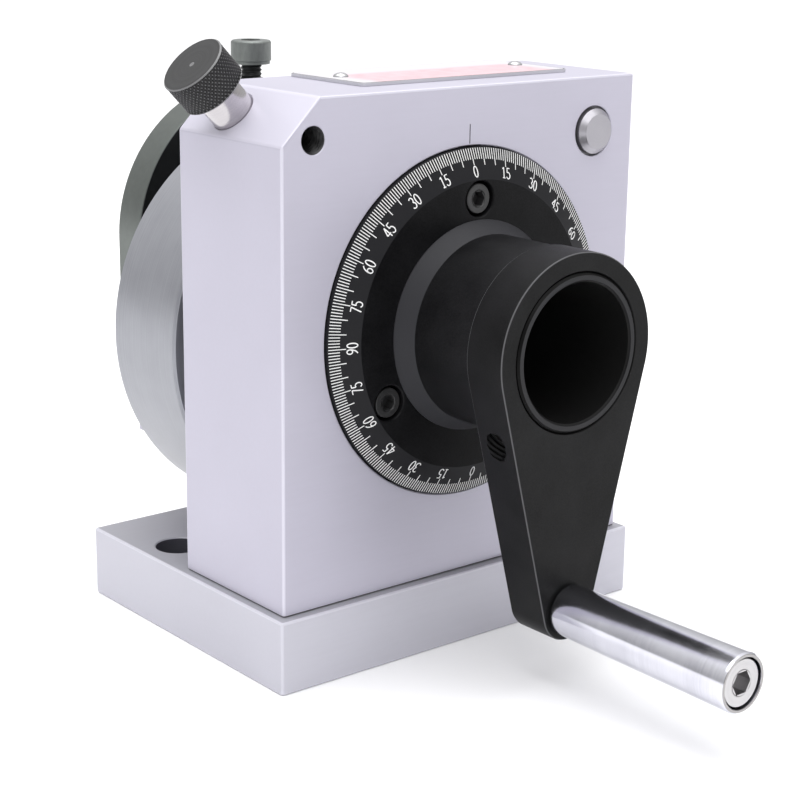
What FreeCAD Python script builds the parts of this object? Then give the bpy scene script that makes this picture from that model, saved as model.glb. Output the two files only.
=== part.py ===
"""Punch former: a hand-cranked indexing spindle with an offset vee slide, in millimetres.

+Z is up, +Y runs from the dial side to the vee side and +X is to the right of the dial.
The origin is on the underside of the base, below the spindle axis, in the block's front face.
"""
import FreeCAD
import Part

import math
import os

V = FreeCAD.Vector

# Base plate
BASE_WIDTH = 134.0
BASE_DEPTH = 100.0
BASE_THICKNESS = 21.5
BASE_FRONT_LEDGE = 3.0
EDGE_BREAK = 0.8
HOLD_DOWN_SPACING = 110.0
HOLD_DOWN_FROM_FACE = 67.3
HOLD_DOWN_HOLE_R = 4.5
HOLD_DOWN_HEAD_R = 7.0
HOLD_DOWN_HEAD_DEPTH = 9.0

# Upright block
BLOCK_WIDTH = 128.5
BLOCK_DEPTH = 48.5
BLOCK_ABOVE_AXIS = 67.0
CORNER_CHAMFER = 12.4
BORE_R = 46.0
DIAL_RECESS_DEPTH = 7.6
BLOCK_SCREW_X = 50.0
BLOCK_SCREW_INSET = 12.0
BLOCK_SCREW_ENGAGE = 15.0
DRILL_POINT = 2.0
DOWEL_X = 33.0
DOWEL_R = 4.0
DOWEL_IN_BLOCK = 12.0

# Socket head screws and headless set screws
M5_THREAD_R = 2.5
M5_HEAD_R = 4.25
M5_HEAD_HEIGHT = 5.0
M5_FLATS = 4.0
M6_THREAD_R = 3.0
M6_HEAD_R = 5.0
M6_HEAD_HEIGHT = 6.0
M6_FLATS = 5.0
M8_THREAD_R = 4.0
M8_HEAD_R = 6.5
M8_HEAD_HEIGHT = 8.0
M8_FLATS = 6.0
SMALL_SET_R = 3.5
SMALL_SET_FLATS = 4.0
SMALL_SET_LENGTH = 8.0
GIB_SET_FLATS = 2.5
HEAD_GAP = 0.6
HEAD_EDGE_SHARE = 0.08
SOCKET_SHARE = 0.6
THIRD_TURN_DEG = 120
SAME_PLACE = 1e-6

# Spindle
BUSH_LENGTH_FRONT = 14.0
BUSH_LENGTH_REAR = 9.0
FRONT_JOURNAL_R = 40.0
REAR_JOURNAL_R = 43.0
NOSE_R = 21.8
SPINDLE_BORE_R = 19.35
NOSE_PROUD = 0.4
FLANGE_R = 56.0
FLANGE_THICKNESS = 7.7
FLANGE_GAP = 0.5
RUNNING_GAP = 0.05
FIT_GAP = 0.02
AXIAL_GAP = 0.3

# Index ring and key
RING_GAP = 0.6
NOTCH_COUNT = 24
NOTCH_MOUTH_HALF = 3.9
NOTCH_FLOOR_HALF = 2.7
NOTCH_DEPTH = 4.4
KEY_WIDTH = 5.0
KEY_HEIGHT = 5.0

# Dial and hub sleeve
DIAL_R = 50.0
DIAL_RIM_GAP = 0.3
DIAL_PROUD = 0.94
DIAL_FACE_R = 41.3
DIAL_BEVEL_RISE = 3.46
DIAL_SCREW_RADIUS = 36.0
DIAL_SCREW_FIRST_DEG = 89.5
DIAL_SCREW_HOLE_R = 5.1
DIAL_SCREW_HEAD_DEPTH = 5.6
DIAL_SCREW_ENGAGE = 9.0
COLLAR_R = 30.2
COLLAR_THICKNESS = 0.4
SLEEVE_R = 26.8
TAPER_LENGTH = 4.7
SLEEVE_LENGTH = 27.14

# Crank arm and handle
ARM_HUB_R = 27.4
ARM_FOOT_R = 9.0
ARM_THICKNESS = 13.7
CRANK_RADIUS = 73.0
ARM_EDGE = 0.7
ARM_SCREW_DEG = 227.0
HANDLE_LENGTH = 63.0
HANDLE_R_ARM = 7.4
HANDLE_R_END = 8.25
HANDLE_BORE_R = 4.1
HANDLE_RECESS_R = 7.0
HANDLE_RECESS_DEPTH = 8.9
HANDLE_EDGE = 0.5

# Index plunger, on a radius of the spindle
PLUNGER_DEG = 134.0
PLUNGER_FROM_FACE = 30.3
PLUNGER_LIFT = 5.0
HOUSING_R = 6.25
HOUSING_FROM_BORE = 5.0
HOUSING_PROUD = 10.3
HOUSING_NECK = 10.0
NOSE_PIN_R = 4.55
NOSE_PIN_LENGTH = 22.0
STEM_R = 2.5
KNOB_R = 9.4
KNOB_LENGTH = 9.8
KNOB_EDGE = 0.4
KNOB_RECESS_GAP = 0.35
KNOB_CAP = 2.9
KNOB_SKIN = 1.0
KNOB_STANDOFF = 8.8
HOUSING_SCREW_DEPTH = 6.2
SPRING_WIRE_R = 0.55
SPRING_TURNS = 4

# Stop pin in the front face
STOP_PIN_FROM_SIDE = 16.05
STOP_PIN_FROM_TOP = 16.0
STOP_PIN_R = 6.6
STOP_PIN_PROUD = 2.2
STOP_PIN_BEVEL = 1.5
STOP_PIN_SHANK = 43.0
STOP_PIN_MOUTH_R = 7.35
STOP_PIN_MOUTH_DEPTH = 1.2

# Name plate on the top
PLATE_WIDTH = 77.0
PLATE_DEPTH = 34.0
PLATE_THICKNESS = 1.0
PLATE_FROM_LEFT = 36.2
PLATE_FROM_FACE = 12.5
PLATE_CORNER_R = 1.5
RIVET_INSET = 5.5
RIVET_HEAD_R = 2.2
RIVET_SHANK_R = 1.2
RIVET_SHANK_LENGTH = 4.0
RIVET_DOME = 1.2

# Vee slide
DISC_R = 62.0
DISC_THICKNESS = 33.0
SLIDE_OFFSET = 11.5
SWING_GAP = 1.0
RAIL_ROOT_WIDTH = 50.0
RAIL_HEIGHT = 9.5
RAIL_ANGLE_DEG = 30.0
RAIL_HALF_LENGTH = 45.0
SLIDE_GAP = 0.12
GIB_THICKNESS = 4.5
GIB_LENGTH = 84.0
GIB_SCREW_SPACING = 26.0
GIB_SCREW_LENGTH = 12.0
SLOT_R = 19.6
ADJUST_FROM_AXIS = 42.0
ADJUST_Y_DEPTH = 7.3
ADJUST_SHANK_R = 4.0
ADJUST_SHANK_BELOW = 34.0
ADJUST_COLLAR_AT = 26.0
ADJUST_COLLAR_R = 6.0
ADJUST_COLLAR_LENGTH = 4.0
ADJUST_BUSH_R = 7.0
ADJUST_BUSH_LENGTH = 6.0
NUT_WIDTH = 14.0
NUT_DEPTH = 14.3
NUT_HEIGHT = 16.0
NUT_SPIGOT_R = 4.0
NUT_SPIGOT_LENGTH = 5.0
POCKET_GAP = 0.8

# Vee block and clamp bridge
VEE_WIDTH = 72.0
VEE_LENGTH = 30.0
VEE_TOP = 18.0
VEE_BOTTOM = 42.0
VEE_MOUTH = 60.0
VEE_RELIEF_WIDTH = 3.0
VEE_RELIEF_DEPTH = 3.0
VEE_SCREW_X = 27.0
VEE_SCREW_UP = 8.0
VEE_SCREW_DOWN = 33.0
VEE_SCREW_ENGAGE = 10.0
BRIDGE_WALL = 10.5
BRIDGE_WIDTH = 12.5
BRIDGE_CENTRE_UP = 24.4
BRIDGE_FROM_DISC = 9.5
BRIDGE_LEG_DOWN = 16.0
BRIDGE_SCREW_DOWN = 9.0
BRIDGE_SCREW_UP = 7.0
BRIDGE_SCREW_ENGAGE = 9.0

# Clamp screw and pad
CLAMP_HEAD_R = 6.4
CLAMP_HEAD_HEIGHT = 7.4
CLAMP_HEAD_UP = 5.2
CLAMP_HEAD_EDGE = 0.9
CLAMP_SHANK_R = 4.0
CLAMP_NECK_R = 3.4
CLAMP_NECK_LENGTH = 4.5
CLAMP_REACH = 52.0
CLAMP_TIP_R = 2.6
CLAMP_TIP_LENGTH = 6.0
PAD_R = 7.0
PAD_HEIGHT = 9.0
PAD_EDGE = 1.0

# Levels that follow from the sizes above
AXIS_HEIGHT = BASE_THICKNESS + SWING_GAP + DISC_R + SLIDE_OFFSET
BLOCK_TOP = AXIS_HEIGHT + BLOCK_ABOVE_AXIS
STOP_PIN_X = BLOCK_WIDTH / 2 - STOP_PIN_FROM_SIDE
STOP_PIN_Z = BLOCK_TOP - STOP_PIN_FROM_TOP
DIAL_RIM = -DIAL_PROUD
DIAL_FRONT = DIAL_RIM - DIAL_BEVEL_RISE
JOURNAL_FRONT = DIAL_RECESS_DEPTH - AXIAL_GAP
FRONT_BUSH_START = DIAL_RECESS_DEPTH + AXIAL_GAP / 2
RING_START = FRONT_BUSH_START + BUSH_LENGTH_FRONT + AXIAL_GAP
REAR_BUSH_START = BLOCK_DEPTH - BUSH_LENGTH_REAR
FLANGE_START = BLOCK_DEPTH + FLANGE_GAP
FLANGE_END = FLANGE_START + FLANGE_THICKNESS
RAIL_END = FLANGE_END + RAIL_HEIGHT
SLEEVE_END = DIAL_FRONT - SLEEVE_LENGTH
ARM_FRONT = SLEEVE_END - ARM_THICKNESS
NOSE_END = ARM_FRONT - NOSE_PROUD
HANDLE_Z = AXIS_HEIGHT - CRANK_RADIUS
HANDLE_START = ARM_FRONT - AXIAL_GAP
HANDLE_END = HANDLE_START - HANDLE_LENGTH
DISC_START = FLANGE_END + AXIAL_GAP
DISC_END = DISC_START + DISC_THICKNESS
DISC_Z = AXIS_HEIGHT - SLIDE_OFFSET
ADJUST_X = -ADJUST_FROM_AXIS
BRIDGE_R = VEE_WIDTH / 2 + BRIDGE_WALL
BRIDGE_START = DISC_END + BRIDGE_FROM_DISC
BRIDGE_END = BRIDGE_START + BRIDGE_WIDTH
BRIDGE_Z = DISC_Z + BRIDGE_CENTRE_UP
BRIDGE_TOP = BRIDGE_Z + BRIDGE_R
CLAMP_Y = BRIDGE_START + BRIDGE_WIDTH / 2
CLAMP_HEAD_BASE = BRIDGE_TOP + CLAMP_HEAD_UP
CLAMP_SHOULDER = CLAMP_HEAD_BASE - CLAMP_REACH
ADJUST_Y = FLANGE_END + ADJUST_Y_DEPTH
RING_R = BORE_R - RING_GAP
M5 = (M5_THREAD_R, M5_HEAD_R, M5_HEAD_HEIGHT, M5_FLATS)
M6 = (M6_THREAD_R, M6_HEAD_R, M6_HEAD_HEIGHT, M6_FLATS)
M8 = (M8_THREAD_R, M8_HEAD_R, M8_HEAD_HEIGHT, M8_FLATS)


def box(x0, x1, y0, y1, z0, z1):
    """Block between two corners."""
    return Part.makeBox(x1 - x0, y1 - y0, z1 - z0, V(x0, y0, z0))


def rod(r, start, direction, length):
    """Round bar from a point along a direction."""
    return Part.makeCylinder(r, length, start, direction)


def rod_y(r, y0, y1, x=0.0, z=AXIS_HEIGHT):
    """Round bar along Y."""
    return rod(r, V(x, y0, z), V(0, 1, 0), y1 - y0)


def rod_z(r, z0, z1, x, y):
    """Round bar along Z."""
    return rod(r, V(x, y, z0), V(0, 0, 1), z1 - z0)


def turned(profile, origin, direction):
    """Solid of revolution; profile holds (radius, distance along the axis) pairs."""
    points = [V(r, 0, h) for r, h in profile]
    face = Part.Face(Part.makePolygon(points + points[:1]))
    solid = face.revolve(V(0, 0, 0), V(0, 0, 1), 360)
    solid.Placement = FreeCAD.Placement(origin, FreeCAD.Rotation(V(0, 0, 1), direction))
    return solid


def turned_y(profile, x=0.0, z=AXIS_HEIGHT):
    """Solid of revolution about a line along +Y; distances are Y values."""
    return turned(profile, V(x, 0, z), V(0, 1, 0))


def hex_prism(across_flats, start, direction, length):
    """Hexagonal bar used to cut a socket."""
    corner_r = across_flats / math.sqrt(3.0)
    angles = [k * math.pi / 3 for k in range(7)]
    points = [V(corner_r * math.cos(a), corner_r * math.sin(a), 0) for a in angles]
    prism = Part.Face(Part.makePolygon(points)).extrude(V(0, 0, length))
    prism.Placement = FreeCAD.Placement(start, FreeCAD.Rotation(V(0, 0, 1), direction))
    return prism


def cap_screw(size, seat, direction, length):
    """Socket head screw: seat is the underside of the head, direction points to the tip."""
    thread_r, head_r, head_h, flats = size
    edge = head_h * HEAD_EDGE_SHARE
    profile = [(0, length), (0, -head_h), (head_r - edge, -head_h), (head_r, edge - head_h), (head_r, 0)]
    profile += [(thread_r, 0), (thread_r, length)]
    depth = head_h * SOCKET_SHARE
    socket = hex_prism(flats, seat - direction * head_h, direction, depth)
    return turned(profile, seat, direction).cut(socket)


def set_screw(radius, flats, start, direction, length):
    """Headless screw with a hex socket in its start end."""
    body = rod(radius, start, direction, length)
    return body.cut(hex_prism(flats, start, direction, length / 2))


def pattern(make, places):
    """Group of equal solids, one at each place."""
    return Part.Compound([make(place) for place in places])


def break_edges(solid, size, test):
    """Chamfer the edges that pass the test."""
    return solid.makeChamfer(size, [edge for edge in solid.Edges if test(edge)])


def on_outline(box_shape):
    """Test for straight edges on the outer corners of a shape's bounding box."""
    bound = box_shape.BoundBox

    def test(edge):
        middle = edge.BoundBox.Center
        hits = 0
        for value, low, high in ((middle.x, bound.XMin, bound.XMax), (middle.y, bound.YMin, bound.YMax),
                                 (middle.z, bound.ZMin, bound.ZMax)):
            hits += min(abs(value - low), abs(value - high)) < SAME_PLACE
        return hits >= 2
    return test


def on_faces(levels):
    """Test for edges that lie in one of the given Y levels."""
    return lambda edge: min(abs(edge.BoundBox.Center.y - y) for y in levels) < SAME_PLACE


def hold_down_places():
    """Centres of the two bolt holes behind the block."""
    return [V(side * HOLD_DOWN_SPACING / 2, HOLD_DOWN_FROM_FACE, 0) for side in (-1, 1)]


def block_screw_places():
    """Centres of the four screws that hold the block."""
    depths = (BLOCK_SCREW_INSET, BLOCK_DEPTH - BLOCK_SCREW_INSET)
    return [V(side * BLOCK_SCREW_X, y, 0) for side in (-1, 1) for y in depths]


def dowel_places():
    """Centres of the two dowels under the block."""
    return [V(side * DOWEL_X, BLOCK_DEPTH / 2, 0) for side in (-1, 1)]


def base_plate():
    """Ground base with hold-down holes and counterbored screws from below."""
    half = BASE_WIDTH / 2
    plate = box(-half, half, -BASE_FRONT_LEDGE, BASE_DEPTH - BASE_FRONT_LEDGE, 0, BASE_THICKNESS)
    plate = break_edges(plate, EDGE_BREAK, on_outline(plate))
    for place in hold_down_places():
        plate = plate.cut(rod_z(HOLD_DOWN_HOLE_R, 0, BASE_THICKNESS, place.x, place.y))
        floor = BASE_THICKNESS - HOLD_DOWN_HEAD_DEPTH
        plate = plate.cut(rod_z(HOLD_DOWN_HEAD_R, floor, BASE_THICKNESS, place.x, place.y))
    head_depth = M8[2] + HEAD_GAP
    for place in block_screw_places():
        plate = plate.cut(rod_z(M8[0] + HEAD_GAP / 2, 0, BASE_THICKNESS, place.x, place.y))
        plate = plate.cut(rod_z(M8[1] + HEAD_GAP / 2, 0, head_depth, place.x, place.y))
    for place in dowel_places():
        plate = plate.cut(rod_z(DOWEL_R, 0, BASE_THICKNESS, place.x, place.y))
    return plate


def base_screws():
    """Screws from the base up into the block."""
    seat = M8[2] + HEAD_GAP
    length = BASE_THICKNESS - seat + BLOCK_SCREW_ENGAGE
    return pattern(lambda p: cap_screw(M8, V(p.x, p.y, seat), V(0, 0, 1), length), block_screw_places())


def base_dowels():
    """Dowels that locate the block on the base."""
    start = EDGE_BREAK
    return pattern(lambda p: rod_z(DOWEL_R, start, BASE_THICKNESS + DOWEL_IN_BLOCK, p.x, p.y), dowel_places())


def plunger_direction():
    """Unit vector from the spindle axis out along the plunger."""
    angle = math.radians(PLUNGER_DEG)
    return V(math.cos(angle), 0, math.sin(angle))


def plunger_point(distance):
    """Point on the plunger's line at a distance from the spindle axis."""
    return V(0, PLUNGER_FROM_FACE, AXIS_HEIGHT) + plunger_direction() * distance


def chamfer_distance():
    """Distance from the spindle axis to the corner chamfer, along the plunger."""
    direction = plunger_direction()
    corner_sum = BLOCK_WIDTH / 2 + BLOCK_TOP - AXIS_HEIGHT - CORNER_CHAMFER
    return corner_sum / (direction.z - direction.x)


def housing_screw_centre():
    """Point on the plunger's line that the housing's set screw bears on."""
    return plunger_point(chamfer_distance() - HOUSING_SCREW_DEPTH)


def block_outline():
    """Front outline of the block with its one chamfered corner."""
    half = BLOCK_WIDTH / 2
    corners = [(-half, BASE_THICKNESS), (half, BASE_THICKNESS), (half, BLOCK_TOP)]
    corners += [(CORNER_CHAMFER - half, BLOCK_TOP), (-half, BLOCK_TOP - CORNER_CHAMFER)]
    points = [V(x, 0, z) for x, z in corners]
    return Part.Face(Part.makePolygon(points + points[:1]))


def body_block():
    """Upright block with the spindle bore, the dial recess and the plunger bore."""
    block = block_outline().extrude(V(0, BLOCK_DEPTH, 0))
    block = break_edges(block, EDGE_BREAK / 2, on_faces((0.0, BLOCK_DEPTH)))
    block = block.cut(rod_y(BORE_R, 0, BLOCK_DEPTH))
    block = block.cut(rod_y(DIAL_R + DIAL_RIM_GAP, 0, DIAL_RECESS_DEPTH))
    block = block.cut(rod(HOUSING_R + FIT_GAP, plunger_point(0), plunger_direction(), BLOCK_WIDTH))
    screw = housing_screw_centre()
    screw_mouth = Part.makeCone(M8[0], SMALL_SET_R, M8[0] - SMALL_SET_R, V(screw.x, 0, screw.z), V(0, 1, 0))
    block = block.cut(rod_y(SMALL_SET_R, 0, PLUNGER_FROM_FACE, screw.x, screw.z)).cut(screw_mouth)
    block = block.cut(rod_y(STOP_PIN_R + RUNNING_GAP, 0, BLOCK_DEPTH, STOP_PIN_X, STOP_PIN_Z))
    block = block.cut(rod_y(STOP_PIN_MOUTH_R, 0, STOP_PIN_MOUTH_DEPTH, STOP_PIN_X, STOP_PIN_Z))
    for place in block_screw_places():
        end = BASE_THICKNESS + BLOCK_SCREW_ENGAGE + DRILL_POINT
        block = block.cut(rod_z(M8[0], BASE_THICKNESS, end, place.x, place.y))
    for place in dowel_places():
        block = block.cut(rod_z(DOWEL_R, BASE_THICKNESS, BASE_THICKNESS + DOWEL_IN_BLOCK, place.x, place.y))
    for place in rivet_places():
        block = block.cut(rod_z(RIVET_SHANK_R, BLOCK_TOP - RIVET_SHANK_LENGTH, BLOCK_TOP, place.x, place.y))
    return block


def ring_solid(outer, inner, y0, y1):
    """Plain ring about the spindle axis."""
    return rod_y(outer, y0, y1).cut(rod_y(inner, y0, y1))


def front_bush():
    """Bearing bush behind the dial."""
    end = FRONT_BUSH_START + BUSH_LENGTH_FRONT
    return ring_solid(BORE_R, FRONT_JOURNAL_R + RUNNING_GAP, FRONT_BUSH_START, end)


def rear_bush():
    """Bearing bush at the vee side."""
    return ring_solid(BORE_R, REAR_JOURNAL_R + RUNNING_GAP, REAR_BUSH_START, BLOCK_DEPTH)


def rivet_places():
    """Centres of the two name plate rivets."""
    left = PLATE_FROM_LEFT - BLOCK_WIDTH / 2
    middle = PLATE_FROM_FACE + PLATE_DEPTH / 2
    return [V(left + RIVET_INSET, middle, 0), V(left + PLATE_WIDTH - RIVET_INSET, middle, 0)]


def name_plate():
    """Thin blank plate on top of the block."""
    left = PLATE_FROM_LEFT - BLOCK_WIDTH / 2
    rear = PLATE_FROM_FACE + PLATE_DEPTH
    plate = box(left, left + PLATE_WIDTH, PLATE_FROM_FACE, rear, BLOCK_TOP, BLOCK_TOP + PLATE_THICKNESS)
    upright = [edge for edge in plate.Edges if edge.BoundBox.ZLength > PLATE_THICKNESS / 2]
    plate = plate.makeFillet(PLATE_CORNER_R, upright)
    for place in rivet_places():
        plate = plate.cut(rod_z(RIVET_SHANK_R, BLOCK_TOP, BLOCK_TOP + PLATE_THICKNESS, place.x, place.y))
    return plate


def plate_rivet(place):
    """Drive rivet with a domed head."""
    top = BLOCK_TOP + PLATE_THICKNESS
    sphere_r = (RIVET_HEAD_R ** 2 + RIVET_DOME ** 2) / (2 * RIVET_DOME)
    dome = Part.makeSphere(sphere_r, V(place.x, place.y, top + RIVET_DOME - sphere_r))
    dome = dome.common(rod_z(RIVET_HEAD_R * 2, top, top + RIVET_DOME * 2, place.x, place.y))
    shank = rod_z(RIVET_SHANK_R, BLOCK_TOP - RIVET_SHANK_LENGTH, top, place.x, place.y)
    return dome.fuse(shank).removeSplitter()


def spindle():
    """Hollow spindle: nose, two journals, face flange and dovetail rail."""
    edge = EDGE_BREAK / 2
    profile = [(SPINDLE_BORE_R, NOSE_END), (NOSE_R - edge, NOSE_END), (NOSE_R, NOSE_END + edge)]
    profile += [(NOSE_R, JOURNAL_FRONT), (FRONT_JOURNAL_R, JOURNAL_FRONT), (FRONT_JOURNAL_R, ring_end())]
    profile += [(REAR_JOURNAL_R, ring_end()), (REAR_JOURNAL_R, FLANGE_START), (FLANGE_R, FLANGE_START)]
    profile += [(FLANGE_R, FLANGE_END), (SPINDLE_BORE_R, FLANGE_END)]
    body = turned_y(profile).fuse(dovetail_rail()).cut(rod_y(SPINDLE_BORE_R, NOSE_END, RAIL_END))
    for place in dial_screw_places():
        body = body.cut(rod_y(M5[0], JOURNAL_FRONT, JOURNAL_FRONT + DIAL_SCREW_ENGAGE, place.x, place.z))
    body = body.cut(key_shape())
    return body.cut(rod_y(NUT_SPIGOT_R, FLANGE_END - NUT_SPIGOT_LENGTH, FLANGE_END, ADJUST_X))


def ring_end():
    """Y level where the index ring meets the rear journal."""
    return REAR_BUSH_START - AXIAL_GAP


def rail_flank(height):
    """Half width of the dovetail rail at a height above the flange."""
    return RAIL_ROOT_WIDTH / 2 + height * math.tan(math.radians(RAIL_ANGLE_DEG))


def dovetail_rail():
    """Dovetail rail across the flange, widening away from it."""
    root = rail_flank(0)
    top = rail_flank(RAIL_HEIGHT)
    corners = [(-root, FLANGE_END), (root, FLANGE_END), (top, RAIL_END), (-top, RAIL_END)]
    points = [V(x, y, AXIS_HEIGHT - RAIL_HALF_LENGTH) for x, y in corners]
    rail = Part.Face(Part.makePolygon(points + points[:1])).extrude(V(0, 0, 2 * RAIL_HALF_LENGTH))
    return rail.common(rod_y(FLANGE_R, FLANGE_END, RAIL_END))


def key_shape():
    """Key in the front journal that drives the index ring."""
    length = ring_end() - RING_START
    low = AXIS_HEIGHT - FRONT_JOURNAL_R - KEY_HEIGHT / 2
    return box(-KEY_WIDTH / 2, KEY_WIDTH / 2, ring_end() - length, ring_end(), low, low + KEY_HEIGHT)


def notch_shape():
    """Tapered slot across the ring's rim, in line with the plunger."""
    out = plunger_direction()
    side = out.cross(V(0, 1, 0))
    floor = V(0, RING_START, AXIS_HEIGHT) + out * (RING_R - NOTCH_DEPTH)
    mouth = floor + out * (NOTCH_DEPTH + RING_GAP)
    points = [floor - side * NOTCH_FLOOR_HALF, floor + side * NOTCH_FLOOR_HALF]
    points += [mouth + side * NOTCH_MOUTH_HALF, mouth - side * NOTCH_MOUTH_HALF]
    return Part.Face(Part.makePolygon(points + points[:1])).extrude(V(0, ring_end() - RING_START, 0))


def index_ring():
    """Hardened ring with tapered index slots round its rim."""
    ring = ring_solid(RING_R, FRONT_JOURNAL_R, RING_START, ring_end()).cut(key_shape())
    axis = V(0, 0, AXIS_HEIGHT)
    seat = notch_shape()
    for k in range(NOTCH_COUNT):
        one = seat.copy()
        one.rotate(axis, V(0, 1, 0), k * 360.0 / NOTCH_COUNT)
        ring = ring.cut(one)
    return ring


def dial_screw_places():
    """Centres of the three screws through the dial."""
    angles = [math.radians(DIAL_SCREW_FIRST_DEG + THIRD_TURN_DEG * k) for k in range(3)]
    centre = V(0, 0, AXIS_HEIGHT)
    return [centre + V(math.cos(a), 0, math.sin(a)) * DIAL_SCREW_RADIUS for a in angles]


def dial():
    """Graduated dial with a sloped scale band, screwed to the front of the spindle."""
    inner = NOSE_R + FIT_GAP
    profile = [(inner, JOURNAL_FRONT), (DIAL_R, JOURNAL_FRONT), (DIAL_R, DIAL_RIM)]
    profile += [(DIAL_FACE_R, DIAL_FRONT), (inner, DIAL_FRONT)]
    disc = turned_y(profile)
    seat = DIAL_FRONT + DIAL_SCREW_HEAD_DEPTH
    for place in dial_screw_places():
        disc = disc.cut(rod_y(M5[0] + HEAD_GAP / 2, DIAL_FRONT, JOURNAL_FRONT, place.x, place.z))
        disc = disc.cut(rod_y(DIAL_SCREW_HOLE_R, DIAL_FRONT, seat, place.x, place.z))
    return disc


def dial_screws():
    """Cap screws that hold the dial."""
    seat = DIAL_FRONT + DIAL_SCREW_HEAD_DEPTH
    length = JOURNAL_FRONT + DIAL_SCREW_ENGAGE - DRILL_POINT - seat
    return pattern(lambda p: cap_screw(M5, V(p.x, seat, p.z), V(0, 1, 0), length), dial_screw_places())


def hub_sleeve():
    """Spacer sleeve from the dial to the crank arm, with a tapered collar."""
    collar_front = DIAL_FRONT - COLLAR_THICKNESS
    inner = NOSE_R + FIT_GAP
    profile = [(inner, SLEEVE_END), (SLEEVE_R, SLEEVE_END), (SLEEVE_R, collar_front - TAPER_LENGTH)]
    profile += [(COLLAR_R, collar_front), (COLLAR_R, DIAL_FRONT), (inner, DIAL_FRONT)]
    return turned_y(profile)


def arm_outline():
    """Teardrop face of the crank arm: hub arc, two tangents and foot arc."""
    lean = math.asin((ARM_HUB_R - ARM_FOOT_R) / CRANK_RADIUS)
    side = V(math.cos(lean), 0, -math.sin(lean))
    mirror = V(-side.x, 0, side.z)
    hub = V(0, SLEEVE_END, AXIS_HEIGHT)
    foot = V(0, SLEEVE_END, HANDLE_Z)
    hub_right, hub_left = hub + side * ARM_HUB_R, hub + mirror * ARM_HUB_R
    foot_right, foot_left = foot + side * ARM_FOOT_R, foot + mirror * ARM_FOOT_R
    edges = [Part.Arc(hub_right, hub + V(0, 0, ARM_HUB_R), hub_left).toShape()]
    edges.append(Part.LineSegment(hub_left, foot_left).toShape())
    edges.append(Part.Arc(foot_left, foot - V(0, 0, ARM_FOOT_R), foot_right).toShape())
    edges.append(Part.LineSegment(foot_right, hub_right).toShape())
    return Part.Face(Part.Wire(edges))


def arm_screw_direction():
    """Unit vector from the spindle axis out through the arm's set screw."""
    angle = math.radians(ARM_SCREW_DEG)
    return V(math.cos(angle), 0, math.sin(angle))


def crank_arm():
    """Crank arm on the spindle nose, with a radial set screw hole and the handle's tapped hole."""
    arm = arm_outline().extrude(V(0, -ARM_THICKNESS, 0))
    arm = break_edges(arm, ARM_EDGE, on_faces((SLEEVE_END, ARM_FRONT)))
    arm = arm.cut(rod_y(NOSE_R + FIT_GAP, ARM_FRONT, SLEEVE_END))
    arm = arm.cut(rod_y(M8[0], ARM_FRONT, SLEEVE_END, 0, HANDLE_Z))
    middle = V(0, SLEEVE_END - ARM_THICKNESS / 2, AXIS_HEIGHT)
    return arm.cut(rod(SMALL_SET_R, middle, arm_screw_direction(), CRANK_RADIUS))


def arm_set_screw():
    """Set screw that grips the spindle nose."""
    direction = arm_screw_direction()
    outer = V(0, SLEEVE_END - ARM_THICKNESS / 2, AXIS_HEIGHT) + direction * (NOSE_R + SMALL_SET_LENGTH)
    screw = set_screw(SMALL_SET_R, SMALL_SET_FLATS, outer, direction * -1, SMALL_SET_LENGTH)
    return screw.cut(rod_y(NOSE_R + FIT_GAP, ARM_FRONT, SLEEVE_END))


def handle_sleeve():
    """Turning handle with a slight taper and a recessed end."""
    recess_floor = HANDLE_END + HANDLE_RECESS_DEPTH
    profile = [(HANDLE_BORE_R, HANDLE_START), (HANDLE_R_ARM - HANDLE_EDGE, HANDLE_START)]
    profile += [(HANDLE_R_ARM, HANDLE_START - HANDLE_EDGE), (HANDLE_R_END, HANDLE_END + HANDLE_EDGE)]
    profile += [(HANDLE_R_END - HANDLE_EDGE, HANDLE_END), (HANDLE_RECESS_R, HANDLE_END)]
    profile += [(HANDLE_RECESS_R, recess_floor), (HANDLE_BORE_R, recess_floor)]
    return turned_y(profile, 0, HANDLE_Z)


def handle_bolt():
    """Shouldered cap screw that the handle turns on."""
    seat = V(0, HANDLE_END + HANDLE_RECESS_DEPTH - AXIAL_GAP, HANDLE_Z)
    length = SLEEVE_END - EDGE_BREAK - seat.y
    return cap_screw(M8, seat, V(0, 1, 0), length)


def plunger_housing():
    """Steel sleeve in the chamfered corner that guides the plunger."""
    surface = chamfer_distance()
    inner_end, outer_end = BORE_R + HOUSING_FROM_BORE, surface + HOUSING_PROUD
    neck = outer_end - HOUSING_NECK
    edge = EDGE_BREAK / 2
    guide_r, stem_hole_r = NOSE_PIN_R + RUNNING_GAP, STEM_R + RUNNING_GAP
    profile = [(guide_r, inner_end), (HOUSING_R, inner_end), (HOUSING_R, outer_end - edge)]
    profile += [(HOUSING_R - edge, outer_end), (stem_hole_r, outer_end), (stem_hole_r, neck), (guide_r, neck)]
    return turned(profile, plunger_point(0), plunger_direction())


def housing_set_screw():
    """Set screw in the front face that locks the plunger housing."""
    centre = housing_screw_centre()
    end = PLUNGER_FROM_FACE - HOUSING_R - FIT_GAP
    return set_screw(SMALL_SET_R, SMALL_SET_FLATS, V(centre.x, end - SMALL_SET_LENGTH, centre.z), V(0, 1, 0),
                     SMALL_SET_LENGTH)


def knob_back():
    """Distance from the spindle axis to the knob's inner face, plunger lifted."""
    return chamfer_distance() + KNOB_STANDOFF


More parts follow.
